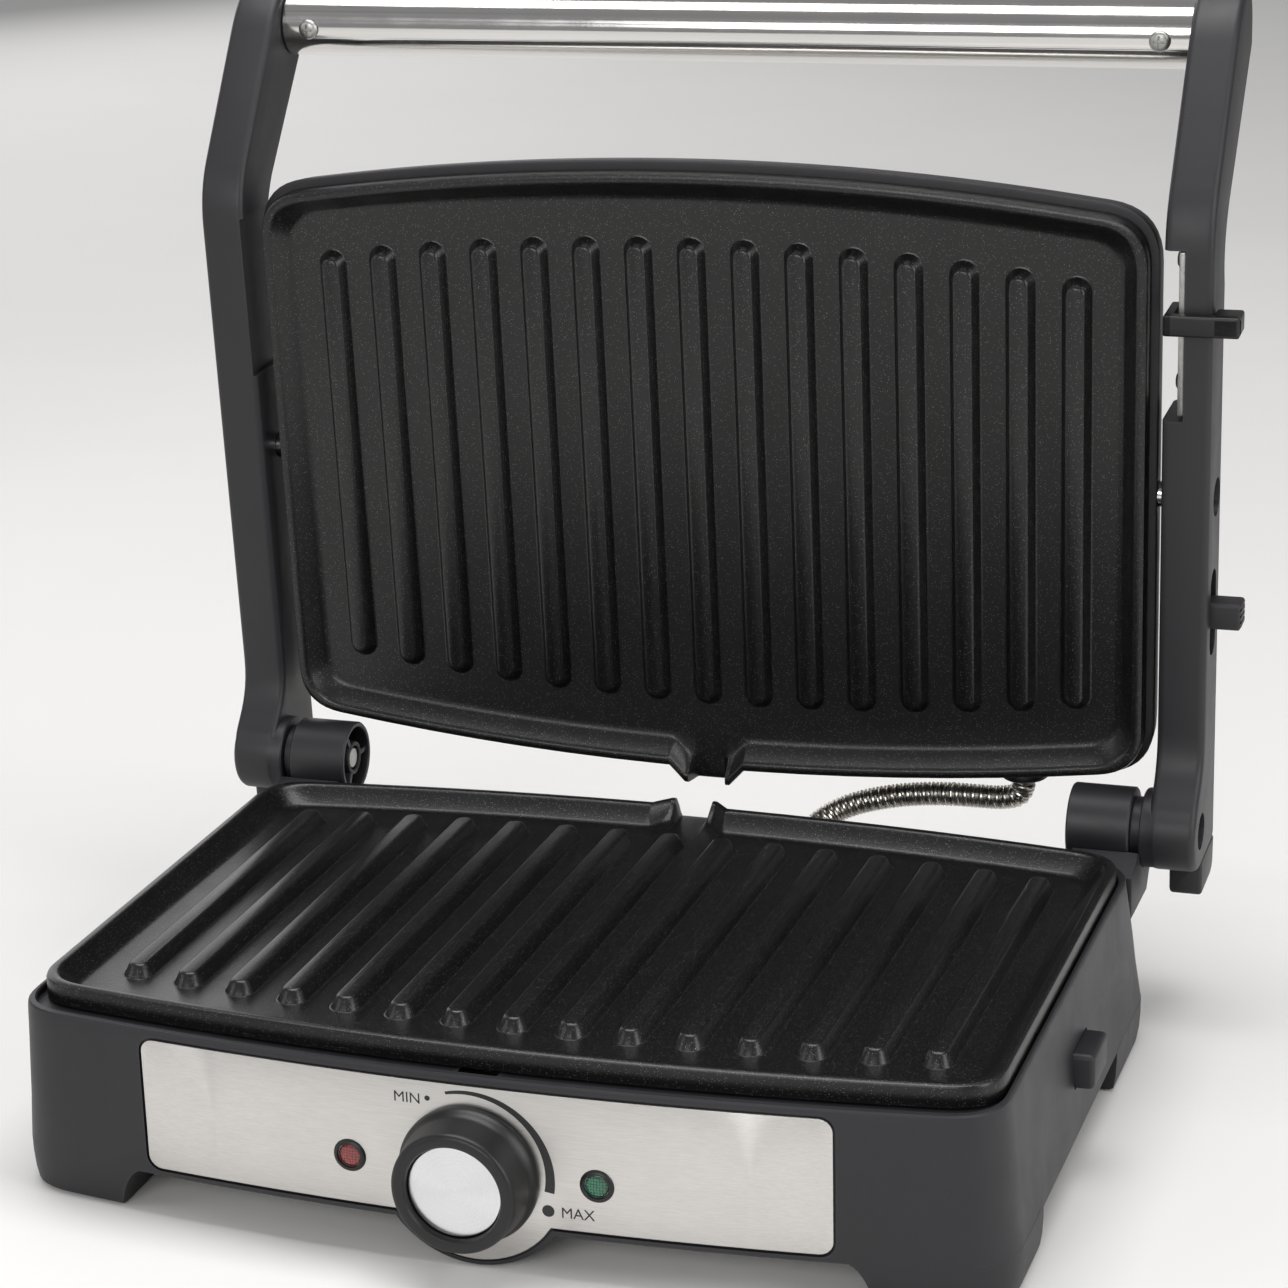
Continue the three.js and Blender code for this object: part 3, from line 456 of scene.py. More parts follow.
metalLooks = {
    "brushedSteel": {"dark": "cbc8c4", "light": "dddbd8", "rough": (0.32, 0.42), "stretch": (7.0, 3400.0, 3400.0),
                     "bump": 0.03, "anisotropy": 0.6},
    "coverSteel": {"dark": "bdbab6", "light": "d9d7d4", "rough": (0.24, 0.34), "stretch": (5.0, 1100.0, 1100.0),
                   "bump": 0.04, "anisotropy": 0.5},
    "polishedSteel": {"dark": "d2d0cd", "light": "e6e4e2", "rough": (0.1, 0.17), "stretch": (3.0, 1500.0, 1500.0),
                      "bump": 0.02, "anisotropy": 0.4},
    "zinc": {"dark": "9c9c99", "light": "bcbcb8", "rough": (0.32, 0.46), "stretch": (500.0, 500.0, 500.0),
             "bump": 0.08, "anisotropy": 0.0},
    "sheath": {"dark": "b5b0a8", "light": "d6d2ca", "rough": (0.2, 0.32), "stretch": (300.0, 300.0, 300.0),
               "bump": 0.06, "anisotropy": 0.0},
    "heaterSteel": {"dark": "55534f", "light": "7d7973", "rough": (0.45, 0.6), "stretch": (260.0, 260.0, 260.0),
                    "bump": 0.12, "anisotropy": 0.0},
}


def makeMetal(name, look):
    material, tree, shader = startMaterial(name, Metallic=1.0, Anisotropic=look["anisotropy"])
    brush = node(tree, "Group", node_tree=brushGroup, Stretch=look["stretch"], Fine=2.2).outputs
    grain = grainOf(tree, 1600.0, 7.0)
    dull = rampOf(tree, grain["Drift"], [(0.35, (0.94, 0.94, 0.94, 1.0)), (0.65, (1.0, 1.0, 1.0, 1.0))])
    smudge = rangeOf(tree, grain["Smudge"], look["rough"][0] - 0.06, look["rough"][1] - 0.06)
    finishShader(tree, shader, mixOf(tree, 1.0, toneOf(tree, brush["Lines"], look), dull, "MULTIPLY"),
                 calc(tree, "MULTIPLY_ADD", brush["Lines"], 0.12, smudge), brush["Height"], look["bump"], 0.0002)
    return material


spunLook = {"dark": "d2d2d5", "light": "ececee", "rough": (0.2, 0.3)}


def makeSpun(name, look):    # face turned on a lathe: fine rings round the knob's axis
    material, tree, shader = startMaterial(name, Metallic=1.0, Anisotropic=0.85)
    low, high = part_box("knob_cap")
    shift = node(tree, "Mapping", vector_type="POINT", Vector=objectPlace(tree), Location=-(low + high) / 2)
    flat = calc(tree, "MULTIPLY", shift.outputs["Vector"], (1, 0, 1), kind="VectorMath", output="Vector")
    reach = calc(tree, "LENGTH", flat, kind="VectorMath")
    rings = node(tree, "TexNoise", noise_dimensions="1D", W=reach, Scale=9000.0, Detail=3.0, Roughness=0.7).outputs["Fac"]
    feed(tree, node(tree, "Tangent", direction_type="RADIAL", axis="Y").outputs["Tangent"], shader["Tangent"])
    finishShader(tree, shader, toneOf(tree, rings, look), rangeOf(tree, rings, *look["rough"]), rings, 0.06, 0.0001)
    return material


lensLooks = {"redLens": {"deep": "4a0c0a", "bright": "a63429"}, "greenLens": {"deep": "02301f", "bright": "0c8259"}}


def makeLens(name, look):    # moulded prism pattern behind a clear dome
    material, tree, shader = startMaterial(name, Roughness=0.16, Coat_Weight=0.7, Coat_Roughness=0.05)
    cells = node(tree, "TexVoronoi", Vector=objectPlace(tree), Scale=1150.0, Randomness=0.25).outputs["Distance"]
    colour = rampOf(tree, cells, [(0.05, linear(look["bright"])), (0.62, linear(look["deep"]))])
    finishShader(tree, shader, colour, None, cells, 0.25, 0.0004)
    return material


makers = ((makePlastic, plasticLooks), (makeMetal, metalLooks), (makeLens, lensLooks),
          (makeNonstick, {"nonstick": nonstickLook}), (makeSpun, {"spunAluminium": spunLook}))
materials = {name: make(name, look) for make, looks in makers for name, look in looks.items()}
print("materials made")


# cooking plates
plateLook = {
    "halfWidth": 145.0, "corner": 14.0, "rimHeight": 6.2, "rimWidth": 3.4, "wallSlope": 5.0, "flange": 7.1,
    "panInset": 6.9, "floorThickness": 3.4, "ribPitch": 17.5, "ribCount": 15, "ribHalfLength": 78.5,
    "lowerFront": -102.7, "lowerRear": 97.6, "lowerFloor": 58.0, "upperHalf": 100.25, "upperFloor": 10.8,
    "spoutFrom": 12.8, "spoutTo": 7.6, "spoutReach": 5.6, "spoutFloor": 2.2, "channelIn": 4.6, "channelOut": 6.4,
    "spoutMarks": (2.4, 4.6, 5.1, 5.6, 6.4, 7.6, 9, 10.4, 11.8, 12.8, 14),
    "ribLevels": ((5.4, 0.9, -0.05), (4.7, 0.35, 0.14), (4.25, 0.0, 0.7), (3.05, -1.6, 3.35), (2.7, -2.1, 3.8),
                  (2.1, -2.8, 4.0)),    # radius, added length, height
}


def smoothStep(value, low, high):
    t = min(max((value - low) / (high - low), 0), 1)
    return t * t * (3 - 2 * t)


def plateLoops(look, front, rear):
    outline = {"halfWidth": look["halfWidth"], "corner": look["corner"], "front": front, "rear": rear}
    rim, flangeZ, under = look["rimHeight"], look["rimHeight"] - look["flange"], -look["spoutFloor"]
    wall = look["rimWidth"] + look["wallSlope"]
    rows = [    # inset, z, height of the row in the spout, how far it follows the spout outwards
        (look["panInset"] + 1.5, -look["floorThickness"], None, 0),
        (look["panInset"], flangeZ, under, 0),
        (0.5, flangeZ, under, 1),
        (0.0, flangeZ + 0.5, under + 0.4, 1),
        (0.0, rim - 1.2, -0.5, 1),
        (0.35, rim - 0.4, -0.1, 1),
        (1.1, rim, 0.05, 1),
        (look["rimWidth"] - 1.0, rim, 0.05, 1),
        (look["rimWidth"] - 0.2, rim - 0.35, 0.05, 1),
        (look["rimWidth"] + 0.35, rim - 1.1, 0.04, 1),
        (wall - 0.9, 1.0, 0.03, 0.9),
        (wall + 0.2, 0.2, 0.02, 0.7),
        (wall + 1.8, 0.0, 0.0, 0),
    ]

    def inSpout(x, y, z, low, pull):    # carries a point of the outline into the grease spout
        far = abs(x)
        if y < 0 or far >= look["spoutFrom"] or low is None:
            return x, y, z
        share = min((look["spoutFrom"] - far) / (look["spoutFrom"] - look["spoutTo"]), 1)
        if z > flangeZ + 0.6:
            depth = 1 - smoothStep(far, look["channelIn"], look["channelOut"])
        else:
            depth = smoothStep(share, 0, 0.6)
        return x, y + pull * look["spoutReach"] * share, z + (low - z) * depth

    return [[inSpout(*p, low, pull) for p in bowedOutline(outline, inset, z, look["spoutMarks"])]
            for inset, z, low, pull in rows]


def ribShape(x, halfLength, levels, steps=8):
    loops = []
    for radius, longer, z in levels:
        straight = halfLength + longer - radius
        loop = []
        for end in (1, -1):
            for i in range(steps + 1):
                a = math.pi * i / steps
                loop.append((x + end * radius * math.cos(a), end * (straight + radius * math.sin(a)), z))
        loops.append(loop)
    return stacked(loops)


def cookingPlate(look, front, rear):
    ribs = []
    for i in range(look["ribCount"]):
        x = (i - (look["ribCount"] - 1) / 2) * look["ribPitch"]
        ribs.append(ribShape(x, look["ribHalfLength"] - bow * x * x, look["ribLevels"]))
    return merged(stacked(plateLoops(look, front, rear)), *ribs)


def makePlates(look):
    lower = cookingPlate(look, look["lowerFront"], look["lowerRear"])
    piece("lowerPlateCasting", lower, "nonstick", "lower_plate", ["lower_plate"],
          Matrix.Translation((0, 0, look["lowerFloor"])), bevel=0.3)
    upper = cookingPlate(look, -look["upperHalf"], look["upperHalf"])
    turnedOver = Matrix.Translation((0, upperMiddle, look["upperFloor"])) @ Matrix.Rotation(math.pi, 4, "Y")
    piece("upperPlateCasting", upper, "nonstick", "upper_plate", ["upper_plate"], lidPlace @ turnedOver, bevel=0.3)


makePlates(plateLook)
print("plates made")


# base housing
baseLook = {
    # height, half width, front, rear, corner, rear bow
    "levels": ((13.5, 151, -112.6, 110.5, 18, 2.5e-4), (20, 150.5, -112.6, 109.1, 18, 2.8e-4),
               (28, 149.8, -112.6, 107.5, 18, 3.2e-4), (38, 149.1, -112.55, 105.9, 17.6, 3.7e-4),
               (46, 148.4, -112.5, 104.5, 17, 4.2e-4), (51, 148, -112.4, 103.4, 16.5, 4.6e-4),
               (55, 147.7, -112.3, 102.5, 16, 5e-4), (57.6, 147.45, -112.1, 101.9, 15.6, 5e-4),
               (58.8, 147.2, -111.9, 101.6, 15.2, 5e-4), (59.3, 146.7, -111.4, 101.1, 15, 5e-4)),
    "deckTop": 56.8, "trough": 6.0,
    "wall": 3.6, "deck": 2.4, "opening": 6.1, "knobZ": 30.3, "bowlRadius": 29.8, "lampX": 37.0,
    "feet": ((-128, -84), (128, -84), (-128, 78), (128, 78)), "screws": ((-126, -52), (126, -52), (-126, 46), (126, 46)),
    "screwZ": 12.2, "saddle": ((-88, 42), (-114, 42), (-120, 49), (-120, 63), (-104, 63), (-88, 56)),
    "conduitAt": (31, 46), "inletAt": (-72, 26),
    "legs": ((-1, -125, -58), (1, -125, -58), (-1, 50, 120), (1, 50, 120)),
}
panelLook = {"halfWidth": 103.1, "low": 15.7, "high": 56.5, "corner": 4.0, "thickness": 0.8, "frontY": -112.4,
             "bowl": 27.3, "border": 0.8}


def panelShape(look, grow, front, rear, flatFront=None):
    w, corner = look["halfWidth"] + grow, look["corner"] + grow
    low, high, radius = look["low"] - grow, look["high"] + grow, look["bowl"] + grow
    knobZ = baseLook["knobZ"]
    bowlHalf = math.sqrt(radius ** 2 - (knobZ - low) ** 2)
    cornerX = [w - corner + corner * math.sin(math.radians(a)) for a in (0, 18, 36, 54, 68, 80, 90)]
    bowlX = [radius * math.sin(math.radians(a)) for a in range(0, 55, 5)]
    half = {*(x for x in bowlX if x < bowlHalf - 0.5), bowlHalf, *spread(bowlHalf, w - corner, 14), *cornerX}
    xs = sorted({-x for x in half} | half)

    def edgeZ(x, top):
        turnIn = max(abs(x) - (w - corner), 0)
        lift = corner - math.sqrt(max(corner ** 2 - turnIn ** 2, 0))
        if top:
            return high - lift
        return knobZ - math.sqrt(radius ** 2 - x * x) if abs(x) < bowlHalf else low + lift

    bm = bmesh.new()
    bmesh.ops.create_grid(bm, x_segments=len(xs) - 1, y_segments=1, size=1)
    for v in bm.verts:
        column = round((v.co.x + 1) / 2 * (len(xs) - 1))
        x = xs[column]
        v.co = (x, look["frontY"] + front + bow * x * x, edgeZ(x, v.co.y > 0))
    new = drawnOut(bm, bm.faces[:], (0, rear - front, 0))
    if flatFront is not None:
        for v in set(bm.verts) - set(new):
            v.co.y = flatFront
        bmesh.ops.recalc_face_normals(bm, faces=bm.faces)
    return bm


def levelLoop(level, inset=0.0, z=None):
    height, halfWidth, front, rear, corner, rearBow = level
    shape = {"halfWidth": halfWidth, "front": front, "rear": rear, "corner": corner, "rearBow": rearBow}
    return bowedOutline(shape, inset, height if z is None else z)


def makeBase(look):
    levels, wall = look["levels"], look["wall"]
    plate = {"halfWidth": plateLook["halfWidth"], "corner": plateLook["corner"], "front": plateLook["lowerFront"],
             "rear": plateLook["lowerRear"]}
    seat = {**plate, "front": plate["front"] - look["trough"]}
    top, deck = levels[-1][0], look["deckTop"]
    outer = [levelLoop(level) for level in levels]
    inner = [bowedOutline(seat, -0.9, top), bowedOutline(seat, -0.5, top - 0.5), bowedOutline(seat, -0.5, deck),
             bowedOutline(plate, look["opening"], deck), bowedOutline(plate, look["opening"], deck - look["deck"]),
             levelLoop(levels[-1], wall - 1, deck - look["deck"]), levelLoop(levels[4], wall),
             levelLoop(levels[0], wall)]
    shell = stacked(outer + inner + [outer[0]], closed=False)

    foot = levels[0]
    band = [levelLoop(foot, 2.2, 0.6), levelLoop(foot, 1.0, 1.2), levelLoop(foot, 0.35, 5), levelLoop(foot, 0.04, 10),
            levelLoop(foot, 0.02, 14.4)]
    added = []
    for side, y0, y1 in look["legs"]:
        arch = [(160, -2), (160, 14.5), (104, 14.5), *quadratic((104, 14.5), (112.5, 13.5), (114.5, -2), 12)]
        bm = bmesh.new()
        drawnOut(bm, [bm.faces.new([bm.verts.new((side * x, y0, z)) for x, z in arch])], (0, y1 - y0, 0))
        added.append(worked(stacked(band), [bm], "INTERSECT"))
    r, knobZ = look["bowlRadius"], look["knobZ"]
    bowl = [(0, 0), (r - 1.4, 0), (r - 0.4, 0.35), (r, 1.3), (r, 15.9), (0, 15.9)]
    bowl = turned(bowl, (0, -111.9, knobZ), (0, 1, 0), 128)
    added.append(worked(bowl, [block((-40, -130, -5), (40, -80, knobZ + 8))], "INTERSECT"))
    for side in (-1, 1):
        added.append(pushed(look["saddle"], *sorted((side * 126, side * 147.6)), round=0.8, segments=2))
    whole = worked(shell, added, "UNION")

    through = lambda radius, x, y0, y1, z: rod(radius, (x, y0, z), (x, y1, z))    # drill along Y
    tools = [
        panelShape(panelLook, panelLook["border"], -8, panelLook["thickness"] + 0.3, flatFront=-122.0),
        through(27.2, 0, -107, -90, knobZ), through(5.5, 0, -122, -90, knobZ),
        *[through(4.9, x, -122, -90, knobZ) for x in (-look["lampX"], look["lampX"])],
        block((130, -10.4, 27.4), (160, 10.4, 39.2), 1.0),    # release button
        block((-13.5, 84, 55.4), (13.5, 107, 62)),    # under the spout
        stacked([bowedOutline(seat, -0.5, deck), bowedOutline(seat, -0.5, 64)]),
        through(7.3, look["inletAt"][0], 90, 120, look["inletAt"][1]),
        through(6.3, look["conduitAt"][0], 88, 120, look["conduitAt"][1]),
        *[rod(12.8, (s * 119, hingeAt.y, hingeAt.z), (s * 152, hingeAt.y, hingeAt.z), 64) for s in (-1, 1)],
        *[rod(9.3, (x, y, -1), (x, y, 5.3)) for x, y in look["feet"]],
    ]
    piece("baseHousing", worked(whole, tools), "casePlastic", "base", ["base_housing"], bevel=0.45, limit=48)


makeBase(baseLook)
print("base made")


# front panel, its printed dial and the lamps
def makePanel(look):
    face = panelShape(look, 0.0, 0.0, look["thickness"])
    rims = [e for e in face.edges if len(e.link_faces) == 2 and e.calc_face_angle() > 1.2
            and all(abs(v.co.y - (look["frontY"] + bow * v.co.x ** 2)) < 0.05 for v in e.verts)]
    bevelEdges(face, rims, 0.3, 2)
    piece("frontPanelSheet", face, "brushedSteel", "base", ["front_panel"])


dialLook = {"radius": 24.8, "from": 106.0, "to": -9.0, "thin": 0.9, "thick": 2.9, "minDot": (120.0, 0.8),
            "maxDot": (-22.5, 1.8), "letter": 4.6, "proud": 0.06, "steps": 60,
            "words": (("MIN", -14.2, 49.4, "RIGHT"), ("MAX", 26.2, 19.4, "LEFT"))}


def onPanel(bm, lift):    # lays a flat shape drawn in (x, z) on the bowed panel
    for v in bm.verts:
        x, y, z = v.co
        v.co = (x, panelLook["frontY"] + bow * x * x - lift - y, z)
    bmesh.ops.recalc_face_normals(bm, faces=bm.faces)
    return bm


def makeDial(look):
    radius, steps, proud = look["radius"], look["steps"], (0, look["proud"], 0)

    def spot(degrees, reach):
        a = math.radians(degrees)
        return Vector((reach * math.cos(a), 0, baseLook["knobZ"] + reach * math.sin(a)))

    bm = bmesh.new()
    angles, widths = spread(look["from"], look["to"], steps + 1), spread(look["thin"], look["thick"], steps + 1)
    inside = [bm.verts.new(spot(a, radius - width)) for a, width in zip(angles, widths)]
    outside = [bm.verts.new(spot(a, radius)) for a in angles]
    rails = [bm.edges.new(pair) for rail in (inside, outside) for pair in zip(rail, rail[1:])]
    bmesh.ops.bridge_loops(bm, edges=rails)
    drawnOut(bm, bm.faces[:], proud)
    dots = []
    for angle, size in (look["minDot"], look["maxDot"]):
        at = spot(angle, radius - 0.4)
        dots.append(rod(size, at, at + Vector(proud), 32))
    piece("dialScale", onPanel(merged(bm, *dots), 0.0), "print", "base")
    for word, x, z, align in look["words"]:
        text = bpy.data.curves.new(word, "FONT")
        text.body, text.size, text.align_x, text.extrude, text.resolution_u = word, look["letter"], align, 0.02, 6
        bm = workedOut(placed(word, text))
        upright = Matrix.Translation((x, 0, z)) @ Matrix.Rotation(math.pi / 2, 4, "X")
        bmesh.ops.transform(bm, matrix=upright, verts=bm.verts)
        bmesh.ops.remove_doubles(bm, verts=bm.verts, dist=1e-5)
        piece("word" + word.capitalize(), onPanel(bm, 0.03), "print", "base")


lampLook = {"lens": 3.5, "dome": 0.45, "bezelIn": 3.55, "bezelOut": 5.0, "bezelHeight": 0.9}


def makeLamps(look):
    for colour, x in (("red", -baseLook["lampX"]), ("green", baseLook["lampX"])):
        y = panelLook["frontY"] + bow * x * x
        tilt = (2 * bow * x, -1, 0)
        at = (x, y, baseLook["knobZ"])
        r, d = look["lens"], look["dome"]
        lens = [(0, -7.8), (r, -7.8), (r, d - 0.55), (r * 0.97, d - 0.4), (r * 0.86, d - 0.24), (r * 0.66, d - 0.12),
                (r * 0.36, d - 0.03), (0, d)]
        piece(colour + "LensDome", turned(lens, at, tilt, 48), colour + "Lens", "base",
              [colour + "_lens"])
        i, o, h = look["bezelIn"], look["bezelOut"], look["bezelHeight"]
        ring = [(i, -0.2), (i, h * 0.75), (i + 0.15, h), (i + 0.5, h), (o - 0.2, h * 0.45), (o, 0.1), (o, -0.2)]
        piece(colour + "Bezel", turned(ring, at, tilt, 64), "knobPlastic", "base")


makePanel(panelLook)
makeDial(dialLook)
makeLamps(lampLook)
print("panel, dial and lamps made")


# control knob
knobLook = {"skirt": 20.7, "wall": 18.4, "depth": 15.8, "face": 12.2, "disc": 13.6}


def makeKnob(look):
    at = (0, panelLook["frontY"], baseLook["knobZ"])
    depth, skirt, wall, face, d = (look[k] for k in ("depth", "skirt", "wall", "face", "disc"))
    body = [(0, 10), (3.3, 10), (3.3, 1), (skirt - 0.4, 1), (skirt, 1.4), (skirt, 2.9), (skirt - 0.25, 3.6), (20.0, 4.4),
            (19.4, 5.2), (19.15, 6.4), (wall, depth - 1.9), (wall - 0.12, depth - 1.2), (wall - 0.5, depth - 0.5),
            (wall - 1.1, depth - 0.1), (wall - 1.7, depth), (15.2, depth), (14.6, depth - 0.2), (14.25, depth - 0.8),
            (14.1, face), (0, face)]
    piece("controlKnobBody", turned(body, at, (0, -1, 0), 96), "knobPlastic", "knob", ["control_knob"])
    disc = [(0, face), (d, face), (d + 0.3, face + 0.2), (d + 0.25, face + 0.7), (d, face + 0.95), (d * 0.97, face + 1.0),
            (d * 0.5, face + 1.1), (0, face + 1.15)]
    piece("knobDisc", turned(disc, at, (0, -1, 0), 96), "spunAluminium", "knob", ["knob_cap"])


makeKnob(knobLook)


# plate release button
def makeButton():
    cap = block((141, -10, 27.8), (155.5, 10, 38.8), 1.7, 4)
    stem = rod(3, (141.5, 0, 33.3), (122.5, 0, 33.3), 32)
    hook = block((132, -7, 29.3), (136, 7, 53), 0.6)
    piece("releaseButton", merged(cap, stem, hook), "casePlastic", "release_button",
          ["plate_release_button"])


makeButton()
print("knob and button made")


# hinges
hingeLook = {"radius": 12.5, "in": 124.0, "out": 144.0, "neck": 9.6, "end": 146.9, "wall": 1.7}


def makeHinges(look):
    r, wall, neck = look["radius"], look["wall"], look["neck"]
    for name, side in (("left", -1), ("right", 1)):
        x0 = look["in"]
        at = (side * x0, hingeAt.y, hingeAt.z)
        length, total = look["out"] - x0, look["end"] - x0
        shell = [(4.4, 12), (r - wall, 12), (r - wall, 0.3), (r - wall + 0.35, 0), (r - 0.4, 0), (r, 0.5),
                 (r, length - 0.5), (r - 0.5, length), (neck + 0.5, length), (neck, length + 0.3), (neck, total),
                 (4.4, total)]
        hub = [(4.3, 0.9), (5.0, 0.6), (5.6, 0.8), (5.8, 1.4), (5.8, 12.2), (4.3, 12.2)]
        spokes = []
        for angle in (90, 210, 330):
            spoke = block((-0.9, 5.2, 0.9), (0.9, r - wall + 0.3, 12.1), 0.25, 2)
            bmesh.ops.transform(spoke, matrix=Matrix.Rotation(math.radians(angle), 4, "Z"), verts=spoke.verts)
            spokes.append(aim(spoke, at, (side, 0, 0)))
        bm = merged(turned(shell, at, (side, 0, 0), 96), turned(hub, at, (side, 0, 0), 48), *spokes)
        piece("hingeBarrel" + name.capitalize(), bm, "armPlastic", "base", ["hinge_barrel_" + name])
        tip = 160 - x0
        pin = [(0, 1.3), (3.2, 1.3), (3.9, 1.9), (4.0, 2.4), (4.0, tip - 0.4), (3.6, tip), (0, tip)]
        piece("hingePin" + name.capitalize(), turned(pin, at, (side, 0, 0), 48), "zinc", "base",
              ["hinge_pin_" + name])


makeHinges(hingeLook)
print("hinges made")


# arms
# s runs from the hinge along the arm, t away from the plates
armLook = {"inner": 150.0, "bossInner": 147.2, "outer": 165.0, "front": 2.5, "rear": 25.5, "boss": 13.0, "bend": 38.0,
           "bendAt": 196.0, "round": 2.3, "handleS": 240.0, "handleT": 57.0, "tube": 10.5, "screwX": 140.2,
           "pivotS": 106.0, "pivotT": 16.8, "releaseS": 69.0, "releaseT": 14.0, "releaseTravel": 9.2,
           "releaseRadius": 5.0, "trackScrews": (144, 182), "trackT": 13.0}


def armOutline(look):
    bend = math.radians(look["bend"])
    front, rear = look["front"], look["rear"]

    def along(length, across=0.0):
        return (look["bendAt"] + length * math.cos(bend) - across * math.sin(bend),
                front + length * math.sin(bend) + across * math.cos(bend))

    depth, restT = rear - front, look["handleT"] + look["tube"]
    points = [(32, front), (look["bendAt"] - 12, front)]
    points += quadratic(points[-1], (look["bendAt"], front), along(12), 8)
    points.append(along(58))
    points += quadratic(points[-1], along(72), (255, look["handleT"]), 10)
    points += quadratic(points[-1], (253, restT), (241, restT), 8)
    points.append((235, restT))
    points.append(along(16, depth))
    points += quadratic(points[-1], along(2, depth), (172, rear), 10)
    points.append((-9, rear))
    points += quadratic(points[-1], (-look["boss"], rear), (-look["boss"], rear - 5), 6)
    points.append((-look["boss"], 0))
    for i in range(1, 23):
        a = math.pi + (1.72 - 1) * math.pi * i / 22
        points.append((look["boss"] * math.cos(a), look["boss"] * math.sin(a)))
    a, b, c, d = Vector(points[-1]), Vector((14, -8)), Vector((17, front)), Vector((32, front))
    for t in (i / 12 for i in range(1, 12)):
        points.append(tuple((1 - t) ** 3 * a + 3 * t * (1 - t) ** 2 * b + 3 * t * t * (1 - t) * c + t ** 3 * d))
    return points


def makeArm(look, name, side):
    x0, x1 = sorted((side * look["inner"], side * look["outer"]))
    at = lambda x, s, t: (side * x, -s, t)
    bm = pushed(armOutline(look), x0, x1, round=look["round"], segments=5)
    lug = [(-12, 3), (-12, 25.5), (-20, 24.5), *quadratic((-20, 24.5), (-24, 23.5), (-24, 18.5), 6), (-24, 4), (-22.5, 3)]
    lug = pushed(lug, *sorted((side * 154.5, side * 165)), round=1.2, segments=3)
    across = lambda radius, start, end, s=0, t=0: rod(radius, at(start, s, t), at(end, s, t))
    r, pivot = look["boss"], (look["pivotS"], look["pivotT"])
    stub = across(9.2, 134, 152, look["handleS"], look["handleT"])
    boss = [(0, 0), (r - 1.0, 0), (r - 0.5, 0.4), (r - 0.3, 1.1), (r - 0.3, 4.5), (0, 4.5)]
    bm = worked(bm, [lug, stub, turned(boss, at(look["bossInner"], 0, 0), (side, 0, 0), 96)], "UNION")
    tools = [across(4.3, 145, 161), across(6, 160.3, 170), across(4.3, 145, 162, *pivot), across(6.1, 160.3, 170, *pivot)]
    if side > 0:
        tools.append(block((148, -187, -5), (156.5, -134, 32)))
        slot = []
        for end, a in [(e, a) for e in (1, -1) for a in spread(-math.pi / 2, math.pi / 2, 13)]:
            slot.append((look["releaseS"] + end * (look["releaseTravel"] + look["releaseRadius"] * math.cos(a)),
                         look["releaseT"] + end * look["releaseRadius"] * math.sin(a)))
        tools.append(pushed(slot, 156.8, 168))
    else:
        tools.append(block((-151.2, -187, -5), (-148, -134, 32)))
    piece("arm" + name.capitalize(), worked(bm, tools), "armPlastic", "arms", ["arm_" + name], lidPlace, 0.4, 50)


makeArm(armLook, "left", -1)
makeArm(armLook, "right", 1)
print("arms made")


# handle and screws
threadPitch = 0.8


def screwShape(head, height, shaft, length, at, direction):
    profile = [(0, height), (head * 0.35, height * 0.98), (head * 0.66, height * 0.86), (head * 0.88, height * 0.58),
               (head, height * 0.18), (head, 0), (shaft, 0)]
    for i in range(int(length / threadPitch)):
        profile += [(shaft, -threadPitch * i - 0.2), (shaft * 0.84, -threadPitch * i - 0.6)]
    profile += [(shaft * 0.8, -length + 0.4), (0, -length)]
    bm = turned(profile, (0, 0, 0), (0, 0, 1), 40)
    arm = head * 0.56
    cross = [block((-x, -y, height - 0.9), (x, y, height + 1)) for x, y in ((arm, 0.42), (0.42, arm))]
    return aim(worked(bm, cross), at, direction)


def makeHandle(look):
    end, s, t, radius = look["inner"] - 0.3, look["handleS"], look["handleT"], look["tube"]
    half = [(9.5, 0.2), (9.7, 0), (10.3, 0), (radius, 0.25)]
    profile = half + [(r, 2 * end - h) for r, h in reversed(half)]
    tube = turned(profile, (-end, -s, t), (1, 0, 0), 96)
    dents = []
    for side in (-1, 1):
        x = side * look["screwX"]
        dents.append(rod(3.0, (x, -s, t - 10.1), (x, -s, t - 13), 40, 5.4))
        dents.append(rod(1.9, (x, -s, t - 8), (x, -s, t - 12), 24))
    piece("handleTube", worked(tube, dents), "polishedSteel", "arms", ["handle_tube"], lidPlace, bevel=0.12)
    for name, side in (("left", -1), ("right", 1)):
        screw = screwShape(3.3, 1.6, 1.4, 9, (side * look["screwX"], -s, t - radius - 0.25), (0, 0, -1))
        piece("handleScrew" + name.capitalize(), screw, "zinc", "arms", ["handle_screw_" + name], lidPlace)
        pin = [(0, 0), (3.6, 0), (4, 0.4), (4, 17.2), (5.4, 17.3), (5.6, 17.6), (5.6, 19.2), (5.2, 19.8), (0, 19.8)]
        pin = turned(pin, (side * 143.6, -look["pivotS"], look["pivotT"]), (side, 0, 0), 48)
        piece("floatPin" + name.capitalize(), pin, "polishedSteel", "arms", ["float_pin_" + name], lidPlace)


makeHandle(armLook)


# sliders on the right arm
sliderLook = {"heightS": 165, "halfTall": 3.2, "reach": 173.5, "inside": 150.6}


